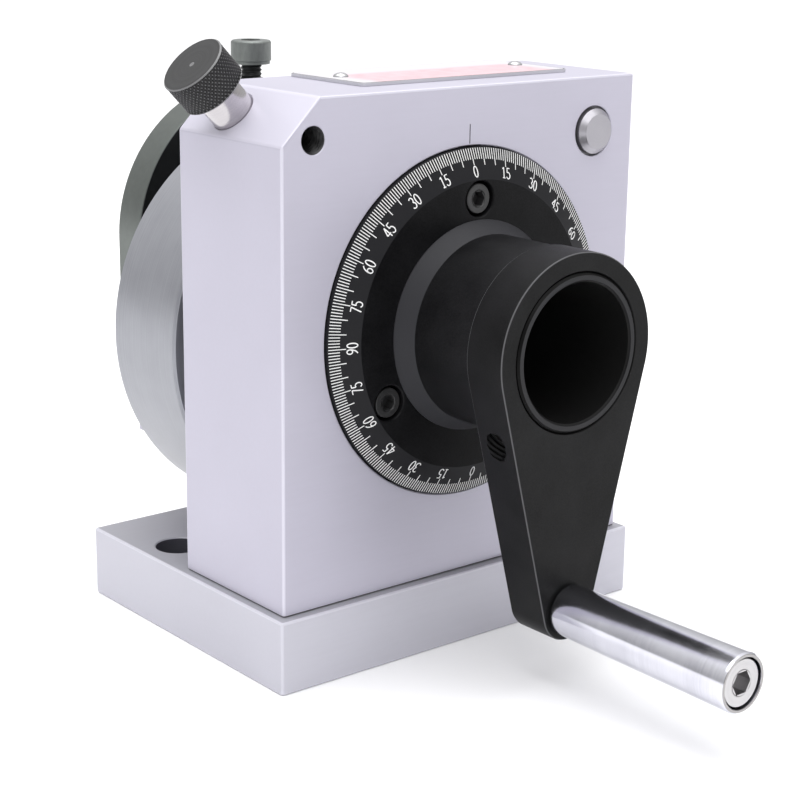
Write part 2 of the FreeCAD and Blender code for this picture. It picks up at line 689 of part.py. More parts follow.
def index_knob():
    """Knurled pull knob with a recess that passes over the housing and a blind hole for the stem."""
    back = knob_back()
    front = back + KNOB_LENGTH
    floor = front - KNOB_CAP
    recess_r = HOUSING_R + KNOB_RECESS_GAP
    face_r = KNOB_R - KNOB_EDGE
    profile = [(0, front), (face_r, front), (KNOB_R, front - KNOB_EDGE), (KNOB_R, back + KNOB_EDGE)]
    profile += [(face_r, back), (recess_r, back), (recess_r, floor), (STEM_R, floor)]
    profile += [(STEM_R, front - KNOB_SKIN), (0, front - KNOB_SKIN)]
    return turned(profile, plunger_point(0), plunger_direction())


def pin_tip():
    """Distance from the spindle axis to the pin's tip, plunger lifted."""
    return RING_R - NOTCH_DEPTH + PLUNGER_LIFT + AXIAL_GAP


def pin_shoulder():
    """Distance from the spindle axis to the shoulder behind the pin's nose."""
    return pin_tip() + NOSE_PIN_LENGTH


def plunger_pin():
    """Plunger with a conical tip, a guided nose and a stem to the knob."""
    tip = pin_tip()
    clearance = RUNNING_GAP * 2
    shoulder = pin_shoulder()
    top = knob_back() + KNOB_LENGTH - KNOB_SKIN
    cone_end = tip + NOTCH_DEPTH
    profile = [(0, tip), (NOTCH_FLOOR_HALF - clearance, tip), (NOTCH_MOUTH_HALF - clearance, cone_end)]
    profile += [(NOSE_PIN_R, cone_end + EDGE_BREAK), (NOSE_PIN_R, shoulder), (STEM_R, shoulder)]
    profile += [(STEM_R, top), (0, top)]
    return turned(profile, plunger_point(0), plunger_direction())


def plunger_spring():
    """Coil spring between the pin's shoulder and the housing's neck."""
    start = pin_shoulder() + SPRING_WIRE_R + RUNNING_GAP
    end = chamfer_distance() + HOUSING_PROUD - HOUSING_NECK - SPRING_WIRE_R - RUNNING_GAP
    mean_r = (NOSE_PIN_R + STEM_R) / 2
    rise = (end - start) / (2 * SPRING_TURNS)
    halves = []
    for k in range(2 * SPRING_TURNS):
        side = (-1) ** k
        low, high = V(side * mean_r, 0, k * rise), V(-side * mean_r, 0, (k + 1) * rise)
        section = Part.Face(Part.Wire(Part.makeCircle(SPRING_WIRE_R, low, V(0, 1, 0))))
        tilt = (high - low).cross(V(0, -side, 0))
        halves.append(section.revolve((low + high) * 0.5, tilt, 180))
    coil = halves[0].multiFuse(halves[1:])
    turn = FreeCAD.Rotation(V(0, 0, 1), plunger_direction())
    coil.Placement = FreeCAD.Placement(plunger_point(start), turn)
    return coil


def stop_pin():
    """Bevelled stop pin that slides out of the front face."""
    face = -STOP_PIN_PROUD
    profile = [(0, face), (STOP_PIN_R - STOP_PIN_BEVEL, face), (STOP_PIN_R, face + STOP_PIN_BEVEL)]
    profile += [(STOP_PIN_R, STOP_PIN_SHANK), (STOP_PIN_R - EDGE_BREAK, STOP_PIN_SHANK + EDGE_BREAK)]
    profile.append((0, STOP_PIN_SHANK + EDGE_BREAK))
    return turned_y(profile, STOP_PIN_X, STOP_PIN_Z)


def disc_level(up):
    """Height of a level given from the centre of the slide disc."""
    return DISC_Z + up


def groove_profile(z0, z1):
    """Dovetail groove for the rail, widened on the right for the gib."""
    gib_room = GIB_THICKNESS + SLIDE_GAP * 2
    low_y, high_y = FLANGE_END - AXIAL_GAP, RAIL_END + AXIAL_GAP
    low = rail_flank(low_y - FLANGE_END)
    high = rail_flank(high_y - FLANGE_END)
    corners = [(-low - SLIDE_GAP, low_y), (low + gib_room, low_y), (high + gib_room, high_y)]
    corners.append((-high - SLIDE_GAP, high_y))
    points = [V(x, y, z0) for x, y in corners]
    return Part.Face(Part.makePolygon(points + points[:1])).extrude(V(0, 0, z1 - z0))


def gib_screw_levels():
    """Heights of the three gib screws."""
    return [disc_level(k * GIB_SCREW_SPACING) for k in (-1, 0, 1)]


def gib_face():
    """X of the gib's outer flank at the gib screws' depth."""
    return rail_flank(RAIL_HEIGHT / 2) + GIB_THICKNESS + SLIDE_GAP


def slide_disc():
    """Round slide that carries the vee block and rides on the dovetail rail."""
    disc = rod_y(DISC_R, DISC_START, DISC_END, 0, DISC_Z)
    disc = break_edges(disc, EDGE_BREAK, on_faces((DISC_START, DISC_END)))
    disc = disc.cut(groove_profile(DISC_Z - 2 * DISC_R, DISC_Z + 2 * DISC_R))
    slot = box(-SLOT_R, SLOT_R, DISC_START, DISC_END, disc_level(-SLIDE_OFFSET), disc_level(SLIDE_OFFSET))
    for end in (-SLIDE_OFFSET, SLIDE_OFFSET):
        slot = slot.fuse(rod_y(SLOT_R, DISC_START, DISC_END, 0, disc_level(end)))
    disc = disc.cut(slot)
    reach = SLIDE_OFFSET + NUT_HEIGHT / 2 + POCKET_GAP
    half = NUT_WIDTH / 2 + POCKET_GAP
    pocket = box(ADJUST_X - half, ADJUST_X + half, DISC_START, FLANGE_END + NUT_DEPTH + POCKET_GAP,
                 disc_level(-reach), disc_level(reach))
    disc = disc.cut(pocket)
    shank_low = disc_level(-ADJUST_SHANK_BELOW - POCKET_GAP)
    collar = disc_level(ADJUST_COLLAR_AT)
    disc = disc.cut(rod_z(ADJUST_SHANK_R + RUNNING_GAP, shank_low, collar, ADJUST_X, ADJUST_Y))
    disc = disc.cut(rod_z(ADJUST_BUSH_R, collar, disc_level(DISC_R), ADJUST_X, ADJUST_Y))
    for level in gib_screw_levels():
        disc = disc.cut(rod(M5[0], V(0, FLANGE_END + RAIL_HEIGHT / 2, level), V(1, 0, 0), DISC_R))
    for place in vee_screw_places():
        disc = disc.cut(rod_y(M6[0] + HEAD_GAP / 2, DISC_START, DISC_END, place.x, place.z))
        disc = disc.cut(rod_y(M6[1] + HEAD_GAP / 2, DISC_START, vee_screw_seat(), place.x, place.z))
    return disc


def slide_gib():
    """Parallel strip that takes up the play on the rail's right flank."""
    low_y, high_y = DISC_START, RAIL_END
    low = rail_flank(low_y - FLANGE_END) + SLIDE_GAP
    high = rail_flank(high_y - FLANGE_END) + SLIDE_GAP
    corners = [(low, low_y), (low + GIB_THICKNESS, low_y), (high + GIB_THICKNESS, high_y), (high, high_y)]
    points = [V(x, y, DISC_Z - GIB_LENGTH / 2) for x, y in corners]
    return Part.Face(Part.makePolygon(points + points[:1])).extrude(V(0, 0, GIB_LENGTH))


def gib_screws():
    """Set screws that press the gib against the rail."""
    depth = FLANGE_END + RAIL_HEIGHT / 2
    tip = gib_face() + M5[0] * math.tan(math.radians(RAIL_ANGLE_DEG)) + FIT_GAP
    start = tip + GIB_SCREW_LENGTH
    screws = []
    for level in gib_screw_levels():
        screws.append(set_screw(M5[0], GIB_SET_FLATS, V(start, depth, level), V(-1, 0, 0), GIB_SCREW_LENGTH))
    return Part.Compound(screws)


def adjusting_screw():
    """Screw that moves the slide: shank, thrust collar and socketed end."""
    low = -ADJUST_SHANK_BELOW
    collar = ADJUST_COLLAR_AT + AXIAL_GAP / 2
    collar_top = collar + ADJUST_COLLAR_LENGTH
    top = collar_top + AXIAL_GAP + ADJUST_BUSH_LENGTH
    shank, wide = ADJUST_SHANK_R, ADJUST_COLLAR_R
    profile = [(0, low), (shank, low), (shank, collar), (wide, collar), (wide, collar_top)]
    profile += [(shank, collar_top), (shank, top), (0, top)]
    body = turned(profile, V(ADJUST_X, ADJUST_Y, DISC_Z), V(0, 0, 1))
    socket = hex_prism(M5[3], V(ADJUST_X, ADJUST_Y, disc_level(top)), V(0, 0, -1), M5[2])
    return body.cut(socket)


def screw_bush():
    """Threaded ring in the disc's rim that keeps the adjusting screw in."""
    low = disc_level(ADJUST_COLLAR_AT + ADJUST_COLLAR_LENGTH + AXIAL_GAP)
    ring = rod_z(ADJUST_BUSH_R, low, low + ADJUST_BUSH_LENGTH, ADJUST_X, ADJUST_Y)
    return ring.cut(rod_z(ADJUST_SHANK_R + RUNNING_GAP, low, low + ADJUST_BUSH_LENGTH, ADJUST_X, ADJUST_Y))


def adjusting_nut():
    """Nut block pressed into the flange by its spigot."""
    half = NUT_WIDTH / 2
    block = box(ADJUST_X - half, ADJUST_X + half, FLANGE_END, FLANGE_END + NUT_DEPTH,
                AXIS_HEIGHT - NUT_HEIGHT / 2, AXIS_HEIGHT + NUT_HEIGHT / 2)
    block = block.fuse(rod_y(NUT_SPIGOT_R, FLANGE_END - NUT_SPIGOT_LENGTH, FLANGE_END, ADJUST_X))
    return block.cut(rod_z(ADJUST_SHANK_R + RUNNING_GAP, 0, BLOCK_TOP, ADJUST_X, ADJUST_Y))


def vee_screw_places():
    """Centres of the four screws from the disc into the vee block."""
    levels = (disc_level(VEE_SCREW_UP), disc_level(-VEE_SCREW_DOWN))
    return [V(side * VEE_SCREW_X, 0, level) for side in (-1, 1) for level in levels]


def vee_screw_seat():
    """Y level under the vee screws' heads."""
    return RAIL_END + AXIAL_GAP + M6[2] + HEAD_GAP


def v_block():
    """Vee block on the far face of the slide."""
    half = VEE_WIDTH / 2
    end = DISC_END + VEE_LENGTH
    block = box(-half, half, DISC_END, end, disc_level(-VEE_BOTTOM), disc_level(VEE_TOP))
    block = break_edges(block, EDGE_BREAK, on_outline(block))
    apex = VEE_TOP - VEE_MOUTH / 2
    mouth = VEE_MOUTH / 2 + EDGE_BREAK
    corners = [(0, apex), (mouth, apex + mouth), (-mouth, apex + mouth)]
    points = [V(x, DISC_END, disc_level(z)) for x, z in corners]
    vee = Part.Face(Part.makePolygon(points + points[:1])).extrude(V(0, VEE_LENGTH, 0))
    relief = box(-VEE_RELIEF_WIDTH / 2, VEE_RELIEF_WIDTH / 2, DISC_END, end,
                 disc_level(apex - VEE_RELIEF_DEPTH), disc_level(apex + VEE_RELIEF_WIDTH))
    block = block.cut(vee).cut(relief)
    for place in vee_screw_places():
        block = block.cut(rod_y(M6[0], DISC_END, DISC_END + VEE_SCREW_ENGAGE + EDGE_BREAK, place.x, place.z))
    for side in (-1, 1):
        for level in bridge_screw_levels():
            start = V(side * half, CLAMP_Y, disc_level(level))
            block = block.cut(rod(M6[0], start, V(-side, 0, 0), BRIDGE_SCREW_ENGAGE + EDGE_BREAK))
    return block


def v_block_screws():
    """Cap screws that hold the vee block on the slide."""
    seat = vee_screw_seat()
    length = DISC_END - seat + VEE_SCREW_ENGAGE
    return pattern(lambda p: cap_screw(M6, V(p.x, seat, p.z), V(0, 1, 0), length), vee_screw_places())


def bridge_screw_levels():
    """Heights of the bridge screws from the centre of the slide disc."""
    return (-BRIDGE_SCREW_DOWN, BRIDGE_SCREW_UP)


def bridge_screw_seat():
    """Distance from the middle to the seats of the bridge screws."""
    return BRIDGE_R - M6[2] - HEAD_GAP


def clamp_bridge():
    """Arched bridge over the vee block, tapped at its crown for the clamp screw."""
    inner = VEE_WIDTH / 2 + FIT_GAP
    leg_end = disc_level(-BRIDGE_LEG_DOWN)
    arch = rod_y(BRIDGE_R, BRIDGE_START, BRIDGE_END, 0, BRIDGE_Z)
    arch = arch.fuse(box(-BRIDGE_R, BRIDGE_R, BRIDGE_START, BRIDGE_END, leg_end, BRIDGE_Z))
    arch = arch.common(box(-BRIDGE_R, BRIDGE_R, BRIDGE_START, BRIDGE_END, leg_end, BRIDGE_TOP))
    arch = arch.cut(rod_y(inner, BRIDGE_START, BRIDGE_END, 0, BRIDGE_Z))
    arch = arch.cut(box(-inner, inner, BRIDGE_START, BRIDGE_END, leg_end, BRIDGE_Z)).removeSplitter()
    arch = arch.cut(rod_z(CLAMP_SHANK_R + RUNNING_GAP, BRIDGE_Z, BRIDGE_TOP + BRIDGE_WALL, 0, CLAMP_Y))
    for side in (-1, 1):
        for level in bridge_screw_levels():
            seat = V(side * bridge_screw_seat(), CLAMP_Y, disc_level(level))
            arch = arch.cut(rod(M6[1] + HEAD_GAP / 2, seat, V(side, 0, 0), BRIDGE_R))
            arch = arch.cut(rod(M6[0] + HEAD_GAP / 2, seat, V(-side, 0, 0), BRIDGE_R / 2))
    return arch


def bridge_screws():
    """Cap screws through the bridge's legs into the vee block."""
    length = bridge_screw_seat() - VEE_WIDTH / 2 + BRIDGE_SCREW_ENGAGE
    screws = []
    for side in (-1, 1):
        for level in bridge_screw_levels():
            seat = V(side * bridge_screw_seat(), CLAMP_Y, disc_level(level))
            screws.append(cap_screw(M6, seat, V(-side, 0, 0), length))
    return Part.Compound(screws)


def clamp_screw():
    """Clamp screw with a round socketed head, an undercut neck and a pivot tip."""
    base, top, shoulder = CLAMP_HEAD_BASE, CLAMP_HEAD_BASE + CLAMP_HEAD_HEIGHT, CLAMP_SHOULDER
    edge = CLAMP_HEAD_EDGE
    neck = base - CLAMP_NECK_LENGTH
    tip = shoulder - CLAMP_TIP_LENGTH
    profile = [(0, tip), (CLAMP_TIP_R, tip), (CLAMP_TIP_R, shoulder), (CLAMP_SHANK_R, shoulder)]
    profile += [(CLAMP_SHANK_R, neck - edge), (CLAMP_NECK_R, neck), (CLAMP_NECK_R, base)]
    profile += [(CLAMP_HEAD_R - edge, base), (CLAMP_HEAD_R, base + edge), (CLAMP_HEAD_R, top - edge)]
    profile += [(CLAMP_HEAD_R - edge, top), (0, top)]
    body = turned(profile, V(0, CLAMP_Y, 0), V(0, 0, 1))
    return body.cut(hex_prism(M8[3], V(0, CLAMP_Y, top), V(0, 0, -1), CLAMP_HEAD_HEIGHT * SOCKET_SHARE))


def clamp_pad():
    """Swivel pad on the clamp screw's tip."""
    top = CLAMP_SHOULDER - AXIAL_GAP
    floor = top - CLAMP_TIP_LENGTH
    bottom = top - PAD_HEIGHT
    hole = CLAMP_TIP_R + RUNNING_GAP
    profile = [(0, bottom), (PAD_R - PAD_EDGE, bottom), (PAD_R, bottom + PAD_EDGE), (PAD_R, top - PAD_EDGE)]
    profile += [(PAD_R - PAD_EDGE, top), (hole, top), (hole, floor), (0, floor)]
    return turned(profile, V(0, CLAMP_Y, 0), V(0, 0, 1))


NODES = {
    "base_plate": base_plate, "body_block": body_block, "base_screws": base_screws,
    "base_dowels": base_dowels, "front_bush": front_bush, "rear_bush": rear_bush,
    "name_plate": name_plate, "plate_rivets": lambda: pattern(plate_rivet, rivet_places()),
    "plunger_housing": plunger_housing, "housing_set_screw": housing_set_screw,
    "spindle": spindle, "index_ring": index_ring, "index_key": key_shape, "dial": dial,
    "dial_screws": dial_screws, "hub_sleeve": hub_sleeve, "crank_arm": crank_arm,
    "arm_set_screw": arm_set_screw, "handle_bolt": handle_bolt, "handle_sleeve": handle_sleeve,
    "adjusting_nut": adjusting_nut, "slide_disc": slide_disc, "slide_gib": slide_gib,
    "gib_screws": gib_screws, "screw_bush": screw_bush, "adjusting_screw": adjusting_screw,
    "v_block": v_block, "v_block_screws": v_block_screws, "clamp_bridge": clamp_bridge,
    "bridge_screws": bridge_screws, "clamp_screw": clamp_screw, "clamp_pad": clamp_pad,
    "index_knob": index_knob, "plunger_pin": plunger_pin, "plunger_spring": plunger_spring,
    "stop_pin": stop_pin,
}


def main():
    """Build every node and write its STEP file."""
    os.makedirs("parts", exist_ok=True)
    for name, make in NODES.items():
        make().exportStep("parts/" + name + ".step")


main()
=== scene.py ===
"""Looks of the punch former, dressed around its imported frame.

Sizes are in millimetres unless a name says otherwise.
"""

import logging
import math
from dataclasses import dataclass, field
from enum import Enum
from typing import Callable, Iterable, Optional, Sequence, Union

import bmesh
import bpy
import numpy as np
from mathutils import Matrix, Vector


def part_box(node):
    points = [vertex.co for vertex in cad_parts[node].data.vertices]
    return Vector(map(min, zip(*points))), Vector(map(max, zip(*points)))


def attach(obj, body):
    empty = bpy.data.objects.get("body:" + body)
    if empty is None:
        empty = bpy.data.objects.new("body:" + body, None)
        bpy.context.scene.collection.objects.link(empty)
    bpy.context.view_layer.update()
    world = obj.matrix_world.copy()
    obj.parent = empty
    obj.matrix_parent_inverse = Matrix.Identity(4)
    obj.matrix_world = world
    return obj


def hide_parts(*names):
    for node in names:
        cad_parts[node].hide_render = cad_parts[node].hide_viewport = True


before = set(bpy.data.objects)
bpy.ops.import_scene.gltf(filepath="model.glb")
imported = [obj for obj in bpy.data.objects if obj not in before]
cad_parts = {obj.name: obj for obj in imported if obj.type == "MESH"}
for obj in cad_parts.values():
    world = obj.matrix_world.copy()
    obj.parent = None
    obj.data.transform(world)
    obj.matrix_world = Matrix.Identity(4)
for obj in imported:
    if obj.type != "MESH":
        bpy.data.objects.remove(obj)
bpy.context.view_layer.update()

MM = 0.001
TINY = 1e-6
FULL_TURN = 2.0 * math.pi
SMOOTH_UP_TO_DEG = 32.0
CRISP_DEG = 15.0
COPLANAR = 0.99999
LARGE_TIMES = 8.0
ROUND_SIDES = 128
HOLE_SIDES = 64
BEYOND = 2.0
LONGEST_EASE = 0.45
SEED_SHIFT = (1.0, 1.7, 0.6)
LOG = logging.getLogger("punch_former")

Pair = tuple[float, float]
Profile = list[Pair]
Relief = Callable[[float, float, float], float]
Number = Union[int, float]


class Plane(Enum):
    """Plane an outline is drawn in; the value is the direction it is extruded along."""

    FRONT = (0.0, 1.0, 0.0)
    TOP = (0.0, 0.0, 1.0)


class Slot(Enum):
    """Material slots of the record."""

    GROUND = "ground_steel"
    BLACK = "black_oxide"
    SPINDLE = "spindle_steel"
    BRIGHT = "bright_steel"
    BRIDGE = "bridge_steel"
    CHROME = "handle_chrome"
    SCREW = "screw_black"
    SILVER = "screw_bright"
    TOOL = "tool_steel"
    PLATE = "plate_enamel"
    RIVET = "rivet_metal"


@dataclass(frozen=True)
class Axis:
    """A line that round pieces are turned about, with the direction that angle zero points in."""

    origin: Vector
    direction: Vector
    zero: Vector

    def at(self, radius: float, turn: float, along: float) -> Vector:
        """Gives a point in millimetres.

        Args:
            radius: distance from the line.
            turn: angle about the line in radians.
            along: distance along the line from its origin.

        Returns:
            The point.
        """
        side = self.direction.cross(self.zero)
        spoke = self.zero * math.cos(turn) + side * math.sin(turn)
        return self.origin + self.direction * along + spoke * radius


def along_y(x: float, z: float) -> Axis:
    """Gives a line along +Y through x and z, with angle zero to the right."""
    return Axis(Vector((x, 0.0, z)), Vector((0.0, 1.0, 0.0)), Vector((1.0, 0.0, 0.0)))


def along_x(y: float, z: float, side: float) -> Axis:
    """Gives a line along +X or -X through y and z, with angle zero to the back."""
    return Axis(Vector((0.0, y, z)), Vector((side, 0.0, 0.0)), Vector((0.0, 1.0, 0.0)))


def along_z(x: float, y: float) -> Axis:
    """Gives a line along +Z through x and y, with angle zero to the right."""
    return Axis(Vector((x, y, 0.0)), Vector((0.0, 0.0, 1.0)), Vector((1.0, 0.0, 0.0)))


def eased(corners: Sequence[Pair], radius: float, steps: int = 3) -> Profile:
    """Rounds the corners of a profile or outline.

    Args:
        corners: the points, of a closed loop or of a chain that starts and ends on the axis.
        radius: how far from each corner the rounding starts.
        steps: number of short edges in each rounding.

    Returns:
        The points with their corners rounded; points on the axis stay.
    """
    out: Profile = []
    count = len(corners)
    for index, corner in enumerate(corners):
        here = Vector(corner)
        before = Vector(corners[index - 1]) - here
        after = Vector(corners[(index + 1) % count]) - here
        beside = min(corners[index - 1][0], corners[(index + 1) % count][0])
        if here.x < TINY and before.length * after.length > TINY and beside < TINY:
            out.append(corner)
            continue
        reach = min(radius, before.length * LONGEST_EASE, after.length * LONGEST_EASE)
        start = here + before.normalized() * reach
        end = here + after.normalized() * reach
        for step in range(steps + 1):
            t = step / steps
            point = start * (1 - t) ** 2 + here * (2 * t * (1 - t)) + end * t ** 2
            out.append((point.x, point.y))
    return out


def split_rows(profile: Profile, longest: float) -> Profile:
    """Divides the long stretches of a profile so that a relief has rows to shape.

    Args:
        profile: the points.
        longest: the longest stretch that stays whole.

    Returns:
        The points with more between them.
    """
    out: Profile = []
    for here, there in zip(profile, profile[1:] + profile[:1]):
        parts = max(1, math.ceil(math.dist(here, there) / longest))
        for part in range(parts):
            t = part / parts
            out.append((here[0] + (there[0] - here[0]) * t, here[1] + (there[1] - here[1]) * t))
    return out


def new_piece(name: str, mesh_maker: bmesh.types.BMesh) -> bpy.types.Object:
    """Turns a mesh in millimetres into an object of the scene in metres.

    Args:
        name: name of the piece.
        mesh_maker: the mesh, which is used up.

    Returns:
        The new piece.
    """
    bmesh.ops.recalc_face_normals(mesh_maker, faces=mesh_maker.faces)
    mesh = bpy.data.meshes.new(name)
    mesh_maker.to_mesh(mesh)
    mesh_maker.free()
    mesh.transform(Matrix.Scale(MM, 4))
    piece = bpy.data.objects.new(name, mesh)
    bpy.context.scene.collection.objects.link(piece)
    return piece


def turned(name: str, profile: Sequence[Pair], axis: Axis, sides: int = ROUND_SIDES,
           relief: Optional[Relief] = None) -> bpy.types.Object:
    """Turns a profile about an axis.

    Args:
        name: name of the piece.
        profile: radius and distance along the axis, as a loop, or from the axis back to the axis.
        axis: the line to turn about.
        sides: number of steps round the axis.
        relief: change of radius at an angle, a distance along the axis and a radius.

    Returns:
        The new piece.
    """
    maker = bmesh.new()
    rings = []
    for radius, distance in profile:
        if radius < TINY:
            rings.append([maker.verts.new(axis.at(0.0, 0.0, distance))])
            continue
        ring = []
        for side in range(sides):
            angle = FULL_TURN * side / sides
            change = relief(angle, distance, radius) if relief else 0.0
            ring.append(maker.verts.new(axis.at(radius + change, angle, distance)))
        rings.append(ring)
    for low, high in zip(rings, rings[1:] + rings[:1]):
        if len(low) == 1 and len(high) == 1:
            continue
        for side in range(sides):
            after = side + 1
            corners = [low[side % len(low)], low[after % len(low)], high[after % len(high)],
                       high[side % len(high)]]
            maker.faces.new(list(dict.fromkeys(corners)))
    return new_piece(name, maker)


def extruded(name: str, outline: Sequence[Pair], plane: Plane, low: float, high: float,
             ease: float = 0.0) -> bpy.types.Object:
    """Extrudes an outline and eases its edges.

    Args:
        name: name of the piece.
        outline: points in the plane, as X and Z for the front and X and Y for the top.
        plane: plane of the outline.
        low: where the piece starts along the plane's direction.
        high: where it ends.
        ease: width of the rounding on its edges.

    Returns:
        The new piece.
    """
    maker = bmesh.new()
    loops = []
    for level in (low, high):
        if plane is Plane.FRONT:
            loops.append([maker.verts.new((x, level, z)) for x, z in outline])
        else:
            loops.append([maker.verts.new((x, y, level)) for x, y in outline])
    maker.faces.new(loops[0])
    maker.faces.new(loops[1])
    count = len(outline)
    for index in range(count):
        after = (index + 1) % count
        maker.faces.new([loops[0][index], loops[0][after], loops[1][after], loops[1][index]])
    bmesh.ops.recalc_face_normals(maker, faces=maker.faces)
    if ease > 0:
        limit = math.radians(SMOOTH_UP_TO_DEG)
        sharp = [edge for edge in maker.edges if edge.calc_face_angle(0.0) > limit]
        bmesh.ops.bevel(maker, geom=sharp, offset=ease, segments=2, profile=0.5, affect="EDGES",
                        clamp_overlap=True)
    return new_piece(name, maker)


def rectangle(low_x: float, high_x: float, low_y: float, high_y: float) -> Profile:
    """Gives the four corners of a rectangle."""
    return [(low_x, low_y), (high_x, low_y), (high_x, high_y), (low_x, high_y)]


def arc(centre: Pair, radius: float, start: float, end: float, steps: int) -> Profile:
    """Gives points on an arc.

    Args:
        centre: the arc's centre.
        radius: its radius.
        start: its first angle in radians.
        end: its last angle in radians.
        steps: number of short edges.

    Returns:
        The points, both ends included.
    """
    angles = [start + (end - start) * step / steps for step in range(steps + 1)]
    return [(centre[0] + radius * math.cos(angle),
             centre[1] + radius * math.sin(angle)) for angle in angles]


def hexagon(across: float) -> Profile:
    """Gives a hexagon about the origin from its size across flats."""
    return arc((0.0, 0.0), across / math.sqrt(3.0), 0.0, FULL_TURN * 5 / 6, 5)


def hex_bar(name: str, across: float, axis: Axis, low: float, high: float) -> bpy.types.Object:
    """Makes a hexagonal bar along an axis, to cut a socket with.

    Args:
        name: name of the piece.
        across: size across flats.
        axis: the bar's line.
        low: where it starts along the line.
        high: where it ends.

    Returns:
        The new piece.
    """
    maker = bmesh.new()
    rings = []
    for level in (low, high):
        spots = [axis.at(math.hypot(*p), math.atan2(p[1], p[0]), level) for p in hexagon(across)]
        rings.append([maker.verts.new(spot) for spot in spots])
        maker.faces.new(rings[-1])
    for index in range(len(rings[0])):
        after = (index + 1) % len(rings[0])
        maker.faces.new([rings[0][index], rings[0][after], rings[1][after], rings[1][index]])
    return new_piece(name, maker)


def bake_modifiers(piece: bpy.types.Object) -> None:
    """Applies every modifier of a piece to its mesh.

    Args:
        piece: the piece, which gets a new mesh.
    """
    depsgraph = bpy.context.evaluated_depsgraph_get()
    mesh = bpy.data.meshes.new_from_object(piece.evaluated_get(depsgraph),
                                           preserve_all_data_layers=True,
                                           depsgraph=depsgraph)
    piece.modifiers.clear()
    old = piece.data
    piece.data = mesh
    bpy.data.meshes.remove(old)


def carve(piece: bpy.types.Object, cutters: Iterable[bpy.types.Object]) -> bpy.types.Object:
    """Cuts other shapes out of a piece and removes the cutters.

    Args:
        piece: what is cut.
        cutters: the shapes to take away.

    Returns:
        The same piece.
    """
    used = list(cutters)
    for cutter in used:
        modifier = piece.modifiers.new("cut", "BOOLEAN")
        modifier.operation = "DIFFERENCE"
        modifier.solver = "EXACT"
        modifier.object = cutter
    bake_modifiers(piece)
    for cutter in used:
        mesh = cutter.data
        bpy.data.objects.remove(cutter)
        bpy.data.meshes.remove(mesh)
    return piece


def joined(name: str, pieces: Sequence[bpy.types.Object]) -> bpy.types.Object:
    """Joins pieces into one with a new name.

    Args:
        name: name of the whole.
        pieces: the pieces, which are used up.

    Returns:
        The new piece.
    """
    maker = bmesh.new()
    for piece in pieces:
        maker.from_mesh(piece.data)
        bpy.data.objects.remove(piece)
    mesh = bpy.data.meshes.new(name)
    maker.to_mesh(mesh)
    maker.free()
    whole = bpy.data.objects.new(name, mesh)
    bpy.context.scene.collection.objects.link(whole)
    return whole


def level_large_faces(mesh: bpy.types.Mesh) -> None:
    """Gives the corners of large flat faces the face's own normal, so that they shade evenly.

    Args:
        mesh: a mesh with its sharp edges marked.
    """
    count = len(mesh.polygons)
    normals, areas, sizes = np.empty(count * 3), np.empty(count), np.empty(count, dtype=np.int32)
    mesh.polygons.foreach_get("normal", normals)
    mesh.polygons.foreach_get("area", areas)
    mesh.polygons.foreach_get("loop_total", sizes)
    normals = normals.reshape(-1, 3)
    edges = np.empty(len(mesh.loops), dtype=np.int32)
    mesh.loops.foreach_get("edge_index", edges)
    sharp = np.empty(len(mesh.edges), dtype=bool)
    mesh.edges.foreach_get("use_edge_sharp", sharp)
    faces = np.repeat(np.arange(count), sizes)
    order = np.argsort(edges, kind="stable")
    met = edges[order][:-1] == edges[order][1:]
    first, second = faces[order][:-1][met], faces[order][1:][met]
    bent = ~sharp[edges[order][:-1][met]]
    flat = (normals[first] * normals[second]).sum(axis=1) > COPLANAR
    bent &= ~flat
    group = joined_groups(count, first[flat], second[flat])
    whole = np.bincount(group, weights=areas, minlength=count)[group]
    largest = np.zeros(count)
    np.maximum.at(largest, group[first[bent]], whole[second[bent]])
    np.maximum.at(largest, group[second[bent]], whole[first[bent]])
    level = (whole > LARGE_TIMES * largest[group])[faces]
    corners = np.empty(len(mesh.loops) * 3)
    mesh.corner_normals.foreach_get("vector", corners)
    corners = corners.reshape(-1, 3)
    corners[level] = normals[faces][level]
    mesh.normals_split_custom_set(corners.tolist())


def joined_groups(count: int, first: np.ndarray, second: np.ndarray) -> np.ndarray:
    """Numbers the groups that pairs of items make.

    Args:
        count: number of items.
        first: one item of each pair.
        second: the other.

    Returns:
        The lowest item of each item's group.
    """
    group = np.arange(count)
    while True:
        before = group.copy()
        low = np.minimum(group[first], group[second])
        np.minimum.at(group, first, low)
        np.minimum.at(group, second, low)
        group = group[group]
        if (before == group).all():
            return group


def smooth(piece: bpy.types.Object, up_to_deg: float = SMOOTH_UP_TO_DEG) -> None:
    """Shades a piece smooth up to an angle, with flat faces kept flat.

    Args:
        piece: the piece.
        up_to_deg: edges that bend by more than this stay crisp.
    """
    piece.data.polygons.foreach_set("use_smooth", [True] * len(piece.data.polygons))
    piece.data.set_sharp_from_angle(angle=math.radians(up_to_deg))
    modifier = piece.modifiers.new("even", "WEIGHTED_NORMAL")
    modifier.keep_sharp = True
    modifier.weight = 100
    bake_modifiers(piece)
    level_large_faces(piece.data)


